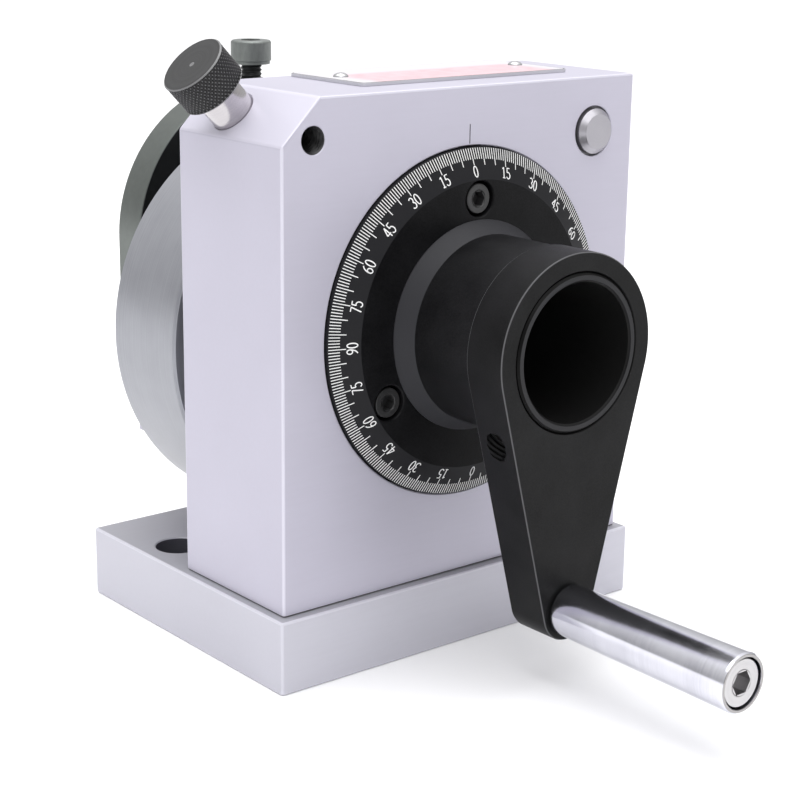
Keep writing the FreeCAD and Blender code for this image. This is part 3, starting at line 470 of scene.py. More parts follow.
class Wire:
    """One output of a shader node, with arithmetic that adds Math nodes."""

    def __init__(self, shader: "Shader", socket: bpy.types.NodeSocket) -> None:
        """Wraps a socket of a shader."""
        self.shader = shader
        self.socket = socket

    def _math(self, operation: str, first: "Value", second: "Value") -> "Wire":
        """Adds one Math node."""
        return self.shader.node("ShaderNodeMath", {"operation": operation}, {0: first, 1: second})

    def __add__(self, other: "Value") -> "Wire":
        """Adds."""
        return self._math("ADD", self, other)

    def __radd__(self, other: "Value") -> "Wire":
        """Adds to a number."""
        return self._math("ADD", other, self)

    def __sub__(self, other: "Value") -> "Wire":
        """Subtracts."""
        return self._math("SUBTRACT", self, other)

    def __rsub__(self, other: "Value") -> "Wire":
        """Subtracts from a number."""
        return self._math("SUBTRACT", other, self)

    def __mul__(self, other: "Value") -> "Wire":
        """Multiplies."""
        return self._math("MULTIPLY", self, other)

    def __rmul__(self, other: "Value") -> "Wire":
        """Multiplies a number."""
        return self._math("MULTIPLY", other, self)

    def __pow__(self, other: "Value") -> "Wire":
        """Raises to a power."""
        return self._math("POWER", self, other)

    def root(self) -> "Wire":
        """Takes the square root."""
        return self._math("SQRT", self, 0.0)

    def least(self, other: "Value") -> "Wire":
        """Takes the smaller."""
        return self._math("MINIMUM", self, other)

    def rises(self, level: float, soft: float) -> "Wire":
        """Gives 0 below a level and 1 above it, with a step as wide as soft."""
        return self.shader.node("ShaderNodeMapRange", {},
                                {"Value": self, "From Min": level - soft / 2,
                                                           "From Max": level + soft / 2})


Value = Union[Wire, Number, Sequence[float]]


class Shader:
    """A material or world in the making: one way to add nodes, and the outputs it ends in."""

    def __init__(self, owner: Union[bpy.types.Material, bpy.types.World]) -> None:
        """Starts with an empty tree of nodes.

        Args:
            owner: the material or world that the nodes belong to.
        """
        self.owner = owner
        owner.use_nodes = True
        self.tree = owner.node_tree
        self.tree.nodes.clear()

    @classmethod
    def of_material(cls, name: str) -> "Shader":
        """Starts a new material."""
        return cls(bpy.data.materials.new(name))

    def node(self, kind: str, settings: dict[str, object], inputs: dict[Union[int, str], Value],
             output: Union[int, str] = 0) -> Wire:
        """Adds a node.

        Args:
            kind: the node's type.
            settings: what is set on the node itself; "stops" holds a ramp's places and colours.
            inputs: values or wires for its sockets.
            output: which output to give back.

        Returns:
            The chosen output.
        """
        made = self.tree.nodes.new(kind)
        for key, value in settings.items():
            if key == "stops":
                self._set_stops(made.color_ramp, value)
            else:
                setattr(made, key, value)
        for key, value in inputs.items():
            if isinstance(value, Wire):
                self.tree.links.new(value.socket, made.inputs[key])
            else:
                made.inputs[key].default_value = value
        return Wire(self, made.outputs[output])

    @staticmethod
    def _set_stops(ramp: bpy.types.ColorRamp, stops: Sequence[tuple[float, float]]) -> None:
        """Gives a ramp its grey stops.

        Args:
            ramp: the ramp of a node.
            stops: place and level of each stop.
        """
        while len(ramp.elements) > len(stops):
            ramp.elements.remove(ramp.elements[-1])
        while len(ramp.elements) < len(stops):
            ramp.elements.new(1.0)
        for element, (place, level) in zip(ramp.elements, stops):
            element.position = place
            element.color = (level, level, level, 1.0)

    def place(self) -> Wire:
        """Gives the point on the piece in metres."""
        return self.node("ShaderNodeTexCoord", {}, {}, "Object")

    def noise(self, per_metre: Union[float, Sequence[float]], detail: float = 3.0,
              rough: float = 0.5,
              seed: float = 0.0) -> Wire:
        """Gives a noise value from 0 to 1.

        Args:
            per_metre: how many lumps a metre holds, the same all ways or for each axis.
            detail: how fine it goes.
            rough: how strong the fine part is.
            seed: shifts the pattern.

        Returns:
            The noise.
        """
        scale = tuple(per_metre) if isinstance(per_metre, (list, tuple)) else (per_metre,) * 3
        shift = [seed * share for share in SEED_SHIFT]
        spot = self.node("ShaderNodeMapping", {},
                         {"Vector": self.place(), "Scale": scale, "Location": shift})
        return self.node("ShaderNodeTexNoise", {"noise_dimensions": "3D"},
                         {"Vector": spot, "Scale": 1.0, "Detail": detail, "Roughness": rough},
                         "Fac")

    def round_place(self, axis: Axis) -> tuple[Wire, Wire]:
        """Gives the distance from an axis and along it, in metres.

        Args:
            axis: the line, in millimetres.

        Returns:
            The distance from the line and the distance along it.
        """
        origin = axis.origin * MM
        offset = self.node("ShaderNodeVectorMath", {"operation": "SUBTRACT"},
                           {0: self.place(), 1: origin})
        along = self.node("ShaderNodeVectorMath", {"operation": "DOT_PRODUCT"},
                          {0: offset, 1: axis.direction},
                          "Value")
        length = self.node("ShaderNodeVectorMath", {"operation": "LENGTH"}, {0: offset}, "Value")
        return (length * length - along * along).root(), along

    def rings(self, axis: Axis, per_metre: float, seed: float = 0.0) -> Wire:
        """Gives the fine rings that a cutting tool leaves about an axis, from 0 to 1.

        Args:
            axis: the line, in millimetres.
            per_metre: how many rings a metre holds.
            seed: shifts the pattern.

        Returns:
            The rings.
        """
        radius, along = self.round_place(axis)
        spot = self.node("ShaderNodeCombineXYZ", {},
                         {0: radius * per_metre, 1: along * per_metre, 2: seed})
        return self.node("ShaderNodeTexNoise", {"noise_dimensions": "3D"},
                         {"Vector": spot, "Scale": 1.0, "Detail": 4.0, "Roughness": 0.6}, "Fac")

    def ramp(self, value: Wire, stops: Sequence[tuple[float, float]]) -> Wire:
        """Reshapes a value by a curve of straight stretches."""
        return self.node("ShaderNodeValToRGB", {"stops": stops}, {0: value})

    def blend(self, share: Value, first: Value, second: Value) -> Wire:
        """Mixes two colours by a share."""
        ends = [value if isinstance(value, Wire) else (*value, 1.0) for value in (first, second)]
        return self.node("ShaderNodeMix", {"data_type": "RGBA"}, {0: share, 6: ends[0], 7: ends[1]},
                         2)

    def coloured(self, value: Wire, spread: float, ends: tuple["Colour", "Colour"],
                 touches: Sequence["Touch"]) -> Wire:
        """Spreads a value between two colours and gives parts of the surface their own.

        Args:
            value: what varies over the surface, about 0.5.
            spread: how far from 0.5 each colour is reached.
            ends: the colours below and above.
            touches: the parts with their own colours.

        Returns:
            The colour.
        """
        shade = self.ramp(value, [(0.5 - spread, 0.0), (0.5 + spread, 1.0)])
        return self.touched(self.blend(shade, *ends), touches)

    def touched(self, colour: Wire, touches: Sequence["Touch"]) -> Wire:
        """Gives parts of a surface their own colours."""
        for touch in touches:
            colour = self.blend(touch.where(self), colour, touch.colour)
        return colour

    def bump(self, height: Wire, depth_mm: float, strength: float = 1.0) -> Wire:
        """Gives the normal of a height from 0 to 1 that is so many millimetres deep."""
        return self.node("ShaderNodeBump", {}, {"Height": height, "Distance": depth_mm * MM,
                                                "Strength": strength})

    def finish(self, **sockets: Value) -> bpy.types.Material:
        """Ends the material in a Principled shader.

        Args:
            sockets: values or wires, by socket name with _ for a blank.

        Returns:
            The material.
        """
        inputs = {key.replace("_", " "): value for key, value in sockets.items()}
        surface = self.node("ShaderNodeBsdfPrincipled", {}, inputs)
        return self.end_in("ShaderNodeOutputMaterial", surface)

    def glow(self, level: Value) -> bpy.types.World:
        """Ends a world in white light of that level."""
        light = self.node("ShaderNodeBackground", {}, {"Strength": level, "Color": WHITE})
        return self.end_in("ShaderNodeOutputWorld", light)

    def end_in(self, kind: str, surface: Wire) -> Union[bpy.types.Material, bpy.types.World]:
        """Links a surface to an output and gives what owns the tree."""
        end = self.tree.nodes.new(kind)
        self.tree.links.new(surface.socket, end.inputs["Surface"])
        return self.owner


Colour = tuple[float, float, float]
Mask = Callable[[Shader], Wire]
WHITE = (1.0, 1.0, 1.0, 1.0)


@dataclass(frozen=True)
class Touch:
    """Colour of one part of a surface."""

    where: Mask
    colour: Colour


@dataclass(frozen=True)
class Outside:
    """Marks what is farther from an axis than a radius."""

    axis: Axis
    radius: float
    soft: float = 0.1

    def __call__(self, shader: Shader) -> Wire:
        """Gives 1 outside and 0 inside."""
        return shader.round_place(self.axis)[0].rises(self.radius * MM, self.soft * MM)


@dataclass(frozen=True)
class Between:
    """Marks what is between two levels along an axis."""

    axis: Axis
    low: float
    high: float
    soft: float = 0.06

    def __call__(self, shader: Shader) -> Wire:
        """Gives 1 between the levels and 0 beyond them."""
        along, soft = shader.round_place(self.axis)[1], self.soft * MM
        return along.rises(self.low * MM, soft) * (1.0 - along.rises(self.high * MM, soft))


@dataclass(frozen=True)
class Inside:
    """Marks the wall of a hole: nearer to its axis than a radius and deeper than its mouth."""

    axis: Axis
    radius: float
    low: float
    high: float

    def __call__(self, shader: Shader) -> Wire:
        """Gives 1 in the hole and 0 elsewhere."""
        near = 1.0 - Outside(self.axis, self.radius)(shader)
        return near * Between(self.axis, self.low, self.high)(shader)


@dataclass(frozen=True)
class BoxEdges:
    """Marks the edges of a box."""

    low: Vector
    high: Vector
    width: float = 0.75
    soft: float = 0.25
    two_faces: float = 1.7
    step: float = 0.4

    def __call__(self, shader: Shader) -> Wire:
        """Gives 1 near two of the box's faces at once and 0 elsewhere.

        Args:
            shader: the material in the making.

        Returns:
            The mark.
        """
        near: Value = 0.0
        for index in range(3):
            place = shader.node("ShaderNodeSeparateXYZ", {}, {0: shader.place()}, index)
            depth = (place - self.low[index] * MM).least(self.high[index] * MM - place)
            near = (1.0 - depth.rises(self.width * MM, self.soft * MM)) + near
        return near.rises(self.two_faces, self.step)


@dataclass(frozen=True)
class GroundSteel:
    """Fine ground steel with faint lengthwise grinding and a satin sheen."""

    name: str = "fine_ground_steel"
    light: Colour = (0.500, 0.484, 0.572)
    dark: Colour = (0.466, 0.451, 0.533)
    roughness: float = 0.42
    metallic: float = 0.2
    grain: tuple[float, float, float] = (60.0, 900.0, 900.0)
    touches: tuple[Touch, ...] = ()
    clouds: float = 24.0
    streak_share: float = 0.35
    spread: float = 0.2
    unevenness: float = 0.10
    scratch_depth: float = 0.004

    def material(self) -> bpy.types.Material:
        """Makes the material.

        Returns:
            The material.
        """
        shader = Shader.of_material(self.name)
        streaks = shader.noise(self.grain, detail=4.0, rough=0.6)
        clouds = shader.noise(self.clouds, detail=2.0, seed=3.0)
        mixed = streaks * self.streak_share + clouds * (1.0 - self.streak_share)
        colour = shader.coloured(mixed, self.spread, (self.dark, self.light), self.touches)
        rough = streaks * self.unevenness + (self.roughness - self.unevenness / 2)
        return shader.finish(Base_Color=colour, Metallic=self.metallic, Roughness=rough,
                             Normal=shader.bump(streaks, self.scratch_depth, 0.5))


@dataclass(frozen=True)
class BlackOxide:
    """Blackened steel with a fine matt speckle."""

    name: str = "black_oxide_satin"
    light: Colour = (0.010, 0.010, 0.011)
    dark: Colour = (0.0035, 0.0035, 0.004)
    roughness: float = 0.36
    specular: float = 0.08
    speckle: float = 2600.0
    speckle_depth: float = 0.03
    touches: tuple[Touch, ...] = ()
    clouds: float = 70.0
    spread: float = 0.14
    unevenness: float = 0.16

    def material(self) -> bpy.types.Material:
        """Makes the material.

        Returns:
            The material.
        """
        shader = Shader.of_material(self.name)
        fine = shader.noise(self.speckle, detail=2.0, rough=0.6)
        clouds = shader.noise(self.clouds, detail=3.0, seed=5.0)
        mixed = fine * 0.5 + clouds * 0.5
        colour = shader.coloured(mixed, self.spread, (self.dark, self.light), self.touches)
        rough = fine * self.unevenness + (self.roughness - self.unevenness / 2)
        return shader.finish(Base_Color=colour, Specular_IOR_Level=self.specular, Roughness=rough,
                             Normal=shader.bump(fine, self.speckle_depth, 0.35))


@dataclass(frozen=True)
class TurnedMetal:
    """Metal with the fine rings that turning or round grinding leaves."""

    name: str
    axis: Axis
    light: Colour
    dark: Colour
    roughness: float = 0.25
    metallic: float = 1.0
    ring_rate: float = 5000.0
    ring_depth: float = 0.004
    mottle: float = 0.3
    touches: tuple[Touch, ...] = ()
    clouds: float = 120.0
    spread: float = 0.2
    ring_unevenness: float = 0.10
    cloud_unevenness: float = 0.06

    def material(self) -> bpy.types.Material:
        """Makes the material.

        Returns:
            The material.
        """
        shader = Shader.of_material(self.name)
        rings = shader.rings(self.axis, self.ring_rate)
        clouds = shader.noise(self.clouds, detail=4.0, seed=2.0)
        mixed = rings * (1.0 - self.mottle) + clouds * self.mottle
        colour = shader.coloured(mixed, self.spread, (self.dark, self.light), self.touches)
        least = self.roughness - (self.ring_unevenness + self.cloud_unevenness) / 2
        rough = rings * self.ring_unevenness + clouds * self.cloud_unevenness + least
        return shader.finish(Base_Color=colour, Metallic=self.metallic, Roughness=rough,
                             Normal=shader.bump(rings, self.ring_depth, 0.5))


@dataclass(frozen=True)
class PlainPaint:
    """Smooth paint or enamel with a faint unevenness."""

    name: str
    light: Colour
    dark: Colour
    roughness: float = 0.4
    metallic: float = 0.0
    touches: tuple[Touch, ...] = ()
    clouds: float = 300.0
    spread: float = 0.15
    unevenness: float = 0.1
    wave_depth: float = 0.004

    def material(self) -> bpy.types.Material:
        """Makes the material.

        Returns:
            The material.
        """
        shader = Shader.of_material(self.name)
        clouds = shader.noise(self.clouds, detail=3.0, seed=1.0)
        colour = shader.coloured(clouds, self.spread, (self.dark, self.light), self.touches)
        rough = clouds * self.unevenness + (self.roughness - self.unevenness / 2)
        return shader.finish(Base_Color=colour, Metallic=self.metallic, Roughness=rough,
                             Normal=shader.bump(clouds, self.wave_depth, 0.3))


def dress(piece: bpy.types.Object, material: bpy.types.Material) -> None:
    """Gives a piece its one material."""
    piece.data.materials.clear()
    piece.data.materials.append(material)


def settle(piece: bpy.types.Object, body: str, material: bpy.types.Material,
           replaced: Sequence[str] = (), up_to_deg: float = SMOOTH_UP_TO_DEG) -> bpy.types.Object:
    """Shades and dresses a piece and joins it to the frame.

    Args:
        piece: the finished shape.
        body: the body that it rides on.
        material: its finish.
        replaced: the nodes that it stands for.
        up_to_deg: edges that bend by more than this stay crisp.

    Returns:
        The same piece.
    """
    smooth(piece, up_to_deg)
    dress(piece, material)
    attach(piece, body)
    if replaced:
        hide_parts(*replaced)
    LOG.info("%s rides on %s with %d faces", piece.name, body, len(piece.data.polygons))
    return piece


def centre_of(node: str) -> Vector:
    """Gives the middle of a node of the frame, in millimetres."""
    low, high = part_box(node)
    return (low + high) / (2 * MM)


def low_of(node: str) -> Vector:
    """Gives the lowest corner of a node of the frame, in millimetres."""
    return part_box(node)[0] / MM


def high_of(node: str) -> Vector:
    """Gives the highest corner of a node of the frame, in millimetres."""
    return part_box(node)[1] / MM


def hole(axis: Axis, radius: float, mouth: float, floor: float, lip: float = 0.0,
         sides: int = HOLE_SIDES,
         relief: Optional[Relief] = None, longest: float = 0.0) -> bpy.types.Object:
    """Makes the shape that cuts a round hole with a chamfered mouth.

    Args:
        axis: the hole's line.
        radius: its radius.
        mouth: distance along the line where it opens.
        floor: distance where it ends.
        lip: width of the chamfer at its mouth.
        sides: number of steps round it.
        relief: change of radius, as for a thread.
        longest: longest stretch of wall between two rows, where a relief shapes it.

    Returns:
        The cutter.
    """
    out = math.copysign(1.0, mouth - floor)
    wall = [(radius, mouth - out * lip), (radius, floor)]
    if longest:
        wall = split_rows(wall, longest)[:math.ceil(math.dist(*wall) / longest)] + [(radius, floor)]
    profile = [(0.0, mouth + out * BEYOND), (radius + lip + BEYOND,
                                             mouth + out * BEYOND)] + wall + [(0.0, floor)]
    return turned("cutter", profile, axis, sides, relief)


@dataclass(frozen=True)
class Thread:
    """A thread as a change of radius between two places on its axis."""

    pitch: float
    depth: float
    start: float
    end: float
    least: float = 0.0

    def __call__(self, angle: float, along: float, radius: float) -> float:
        """Gives the change of radius.

        Args:
            angle: angle about the axis in radians.
            along: distance along the axis.
            radius: radius of the plain surface.

        Returns:
            A change from minus the depth to nothing.
        """
        if not self.start <= along <= self.end or radius < self.least:
            return 0.0
        turn = (along / self.pitch - angle / FULL_TURN) % 1.0
        return -self.depth * (1.0 - abs(2.0 * turn - 1.0))


@dataclass(frozen=True)
class Knurl:
    """A diamond knurl as a change of radius between two places on its axis."""

    teeth: int
    pitch: float
    depth: float
    start: float
    end: float
    least: float

    def __call__(self, angle: float, along: float, radius: float) -> float:
        """Gives the change of radius.

        Args:
            angle: angle about the axis in radians.
            along: distance along the axis.
            radius: radius of the plain surface.

        Returns:
            A change from minus the depth to nothing.
        """
        if not self.start < along < self.end or radius < self.least:
            return 0.0
        round_it = self.teeth * angle / FULL_TURN
        left = abs(2.0 * ((round_it + along / self.pitch) % 1.0) - 1.0)
        right = abs(2.0 * ((round_it - along / self.pitch) % 1.0) - 1.0)
        return -self.depth * (1.0 - min(left, right))


@dataclass(frozen=True)
class SocketScrew:
    """A socket head screw's sizes."""

    shank_radius: float
    head_radius: float
    head_height: float
    flats: float
    edge: float = 0.35
    socket_share: float = 0.6

    def build(self, axis: Axis, seat: float, length: float, sides: int = 48) -> bpy.types.Object:
        """Makes a screw along an axis.

        Args:
            axis: the screw's line; its tip points along it.
            seat: distance along the line of the underside of the head.
            length: length under the head.
            sides: number of steps round it.

        Returns:
            The screw.
        """
        top = seat - self.head_height
        edge = self.edge
        profile = [(0.0, top), (self.head_radius - edge, top),
                   (self.head_radius - edge * 0.3, top + edge * 0.3),
                   (self.head_radius, top + edge), (self.head_radius, seat),
                   (self.shank_radius, seat),
                   (self.shank_radius, seat + length - edge),
                   (self.shank_radius - edge, seat + length),
                   (0.0, seat + length)]
        screw = turned("screw", profile, axis, sides)
        depth = self.head_height * self.socket_share
        mouth = hole(axis, self.flats / math.sqrt(3.0) - 0.05, top, top + 0.05, 0.3, sides)
        return carve(screw, [hex_bar("cutter", self.flats, axis, top - BEYOND, top + depth), mouth])


M5_CAP = SocketScrew(2.5, 4.25, 5.0, 4.0)
M6_CAP = SocketScrew(3.0, 5.0, 6.0, 5.0)
M8_CAP = SocketScrew(4.0, 6.5, 8.0, 6.0)


@dataclass
class Steels:
    """The finishes that several sub-assemblies share, made once."""

    ground: bpy.types.Material = field(default_factory=lambda: GroundSteel().material())
    black: bpy.types.Material = field(default_factory=lambda: BlackOxide().material())
    screw: bpy.types.Material = field(default_factory=lambda: BlackOxide(
        "black_screw", (0.030, 0.030, 0.031), (0.012, 0.012, 0.0125), 0.34, 0.45).material())
    hidden: bpy.types.Material = field(default_factory=lambda: GroundSteel(
        "hardened_steel", (0.42, 0.42, 0.44), (0.34, 0.34, 0.36), 0.35, 1.0).material())
    bronze: bpy.types.Material = field(default_factory=lambda: GroundSteel(
        "bearing_bronze", (0.72, 0.50, 0.24), (0.60, 0.40, 0.18), 0.38, 1.0).material())
    spring: bpy.types.Material = field(default_factory=lambda: GroundSteel(
        "spring_wire", (0.45, 0.45, 0.47), (0.36, 0.36, 0.38), 0.3, 1.0).material())


@dataclass
class Base:
    """Ground base plate with two hold-down holes and the screws that come up into the block."""

    steels: Steels
    edge: float = 0.8
    lip: float = 0.3
    hold_down: Pair = (55.0, 67.3)
    hole_radius: float = 4.5
    head_radius: float = 7.0
    head_depth: float = 9.0
    block_screw_x: float = 50.0
    block_screw_rows: Pair = (12.0, 36.5)
    dowel: Pair = (33.0, 24.25)
    dowel_radius: float = 4.0
    screw_gap: float = 0.3
    screw_head_gap: float = 0.6
    engage: float = 15.0
    light: Colour = (0.535, 0.530, 0.590)
    dark: Colour = (0.495, 0.490, 0.548)
    # painted shade: darker colour for the plate's top face
    top_colour: Colour = (0.360, 0.357, 0.396)
    # painted highlight: paler colour along the plate's edges
    edge_colour: Colour = (0.60, 0.595, 0.66)
    # painted shade: dark colour inside the hold-down holes
    hole_colour: Colour = (0.10, 0.10, 0.12)

    def build(self) -> None:
        """Makes the plate and its screws."""
        self.plate()
        self.screws()

    def plate(self) -> None:
        """Makes the plate with its holes."""
        low, high = low_of("base_plate"), high_of("base_plate")
        plate = extruded("ground_base", rectangle(low.x, high.x, low.y, high.y), Plane.TOP, low.z,
                         high.z, self.edge)
        cutters = []
        for side in (-1, 1):
            axis = along_z(side * self.hold_down[0], self.hold_down[1])
            cutters.append(hole(axis, self.head_radius, high.z, high.z - self.head_depth, self.lip))
            cutters.append(hole(axis, self.hole_radius, low.z, high.z - self.head_depth + BEYOND,
                                self.lip))
            cutters.append(hole(along_z(side * self.dowel[0], self.dowel[1]), self.dowel_radius,
                                low.z,
                                high.z + BEYOND))
            for row in self.block_screw_rows:
                axis = along_z(side * self.block_screw_x, row)
                head_floor = M8_CAP.head_height + self.screw_head_gap
                cutters.append(hole(axis, M8_CAP.head_radius + self.screw_gap, low.z, head_floor,
                                    self.lip))
                cutters.append(hole(axis, M8_CAP.shank_radius + self.screw_gap,
                                    head_floor - BEYOND / 2,
                                    high.z + BEYOND))
        settle(carve(plate, cutters), "root", self.finish(low, high), ["base_plate"])

    def finish(self, low: Vector, high: Vector) -> bpy.types.Material:
        """Makes the plate's steel, with painted highlights on its edges, painted shade in its
        hold-down holes and painted shade on its top face.

        Args:
            low: the plate's lowest corner.
            high: its highest corner.

        Returns:
            The steel.
        """
        # painted shade inside the hold-down holes
        holes = [Touch(Inside(along_z(side * self.hold_down[0], self.hold_down[1]),
                              self.head_radius + self.lip / 2,
                              low.z, high.z - self.lip), self.hole_colour) for side in (-1, 1)]
        # painted shade: the top face gets a darker colour
        top = Touch(Between(along_z(0.0, 0.0), high.z - self.edge / 4, high.z + BEYOND, 0.1),
                    self.top_colour)
        # painted highlight on the edges, painted shade on the top face and in the holes
        return GroundSteel("ground_base_steel", self.light, self.dark,
                           touches=(top, Touch(BoxEdges(low, high), self.edge_colour),
                                    *holes)).material()

    def screws(self) -> None:
        """Makes the four screws whose heads show in the underside."""
        seat = M8_CAP.head_height + self.screw_head_gap
        length = high_of("base_plate").z - seat + self.engage
        screws = [M8_CAP.build(along_z(side * self.block_screw_x, row), seat, length)
                  for side in (-1, 1) for row in self.block_screw_rows]
        settle(joined("base_cap_screws", screws), "root", self.steels.screw,
               ["base_screws"])


PLUNGER_TURN = math.radians(134.0)
PLUNGER_DEPTH = 30.3
CENTRE_Z = centre_of("dial").z
PLUNGER = Axis(Vector((0.0, PLUNGER_DEPTH, CENTRE_Z)),
               Vector((math.cos(PLUNGER_TURN), 0.0, math.sin(PLUNGER_TURN))),
               Vector((0.0, 1.0, 0.0)))


@dataclass
class Block:
    """Upright block with its bore, dial recess, plunger bore, stop pin bore and index line."""

    steels: Steels
    edge: float = 0.8
    lip: float = 0.35
    corner: float = 12.4
    bore_radius: float = 46.0
    recess_radius: float = 50.3
    recess_depth: float = 7.6
    housing_radius: float = 6.27
    chamfer_at: float = 84.05
    set_screw_depth: float = 6.2
    set_screw_radius: float = 3.5
    pin_gap: float = 0.05
    pin_mouth_radius: float = 7.35
    pin_mouth_depth: float = 1.2
    line_half_width: float = 0.17
    line_low: float = 50.9
    line_high: float = 56.3
    line_depth: float = 0.15
    # painted highlight: paler colour along the block's edges
    edge_colour: Colour = (0.62, 0.605, 0.69)
    # painted shade: dark colour inside the set screw hole and the engraved index line
    hole_colour: Colour = (0.012, 0.012, 0.013)
    # painted shade: dark colour in the stop pin's mouth and in a band along the block's foot where
    # it meets the base
    joint_colour: Colour = (0.16, 0.155, 0.17)
    # painted highlight: paler colour on the corner chamfer that faces the light
    corner_colour: Colour = (0.58, 0.563, 0.655)
    # height of the band of painted shade along the block's foot
    joint_height: float = 0.45

    def build(self) -> None:
        """Makes the block and cuts its holes."""
        low, high = low_of("body_block"), high_of("body_block")
        outline = [(low.x, low.z), (high.x, low.z), (high.x, high.z), (low.x + self.corner, high.z),
                   (low.x, high.z - self.corner)]
        block = extruded("upright_block", outline, Plane.FRONT, low.y, high.y, self.edge)
        spindle = along_y(0.0, CENTRE_Z)
        cutters = [hole(spindle, self.recess_radius, low.y, self.recess_depth, self.lip,
                        2 * ROUND_SIDES),
                   hole(spindle, self.bore_radius, high.y, self.recess_depth - BEYOND, self.lip,
                        2 * ROUND_SIDES),
                   hole(PLUNGER, self.housing_radius, self.chamfer_at, self.bore_radius - BEYOND,
                        self.lip)]
        cutters += self.pin_cutters() + [self.screw_cutter(low.y), self.line_cutter(low.y)]
        settle(carve(block, cutters), "root", self.finish(low, high), ["body_block"])

    def finish(self, low: Vector, high: Vector) -> bpy.types.Material:
        """Makes the block's steel, with painted highlights on its edges and corner chamfer, painted
        shade in its holes, pin mouth and index line, and a band of painted shade along its foot
        over the base.

        Args:
            low: the block's lowest corner.
            high: its highest corner.

        Returns:
            The steel.
        """
        spot = PLUNGER.at(0.0, 0.0, self.chamfer_at - self.set_screw_depth)
        pin = centre_of("stop_pin")
        line = Inside(along_y(0.0, CENTRE_Z + (self.line_low + self.line_high) / 2),
                      self.line_high - self.line_low,
                      low.y + self.line_depth / 2, low.y + self.line_depth * 2)
        # painted highlight on the edges and corner chamfer; painted shade in the holes, the pin
        # mouth, the index line and along the foot
        marks = (Touch(BoxEdges(low, high), self.edge_colour),
                 Touch(Inside(along_y(spot.x, spot.z), self.set_screw_radius + 1.0, low.y + 0.2,
                              PLUNGER_DEPTH),
                       self.hole_colour),
                 Touch(Inside(along_y(pin.x, pin.z), self.pin_mouth_radius + 0.1, low.y + 0.25,
                              high.y),
                       self.joint_colour),
                 Touch(line, self.hole_colour),
                 Touch(Between(along_z(0.0, 0.0), low.z - 1.0, low.z + self.joint_height, 0.1),
                       self.joint_colour),
                 Touch(Between(PLUNGER, self.chamfer_at - self.edge / 2, self.chamfer_at + BEYOND,
                               0.1),
                       self.corner_colour))
        return GroundSteel(touches=marks).material()

    def pin_cutters(self) -> list[bpy.types.Object]:
        """Makes the cutters of the stop pin's bore and of its wider mouth.

        Returns:
            The two cutters.
        """
        pin = centre_of("stop_pin")
        axis = along_y(pin.x, pin.z)
        radius = high_of("stop_pin").x - pin.x + self.pin_gap
        return [hole(axis, radius, 0.0, high_of("body_block").y + BEYOND),
                hole(axis, self.pin_mouth_radius, 0.0, self.pin_mouth_depth, self.lip / 2)]

    def screw_cutter(self, front: float) -> bpy.types.Object:
        """Makes the threaded cutter of the housing screw's hole.

        Args:
            front: level of the block's front face.

        Returns:
            The cutter.
        """
        spot = PLUNGER.at(0.0, 0.0, self.chamfer_at - self.set_screw_depth)
        thread = Thread(1.25, 0.55, front, 13.0)
        return hole(along_y(spot.x, spot.z), self.set_screw_radius + 0.45, front, PLUNGER_DEPTH,
                    0.3, 48, thread, 0.2)

    def line_cutter(self, front: float) -> bpy.types.Object:
        """Makes the cutter of the engraved index line over the dial."""
        outline = rectangle(-self.line_half_width, self.line_half_width, CENTRE_Z + self.line_low,
                            CENTRE_Z + self.line_high)
        return extruded("cutter", outline, Plane.FRONT, front - BEYOND, front + self.line_depth)


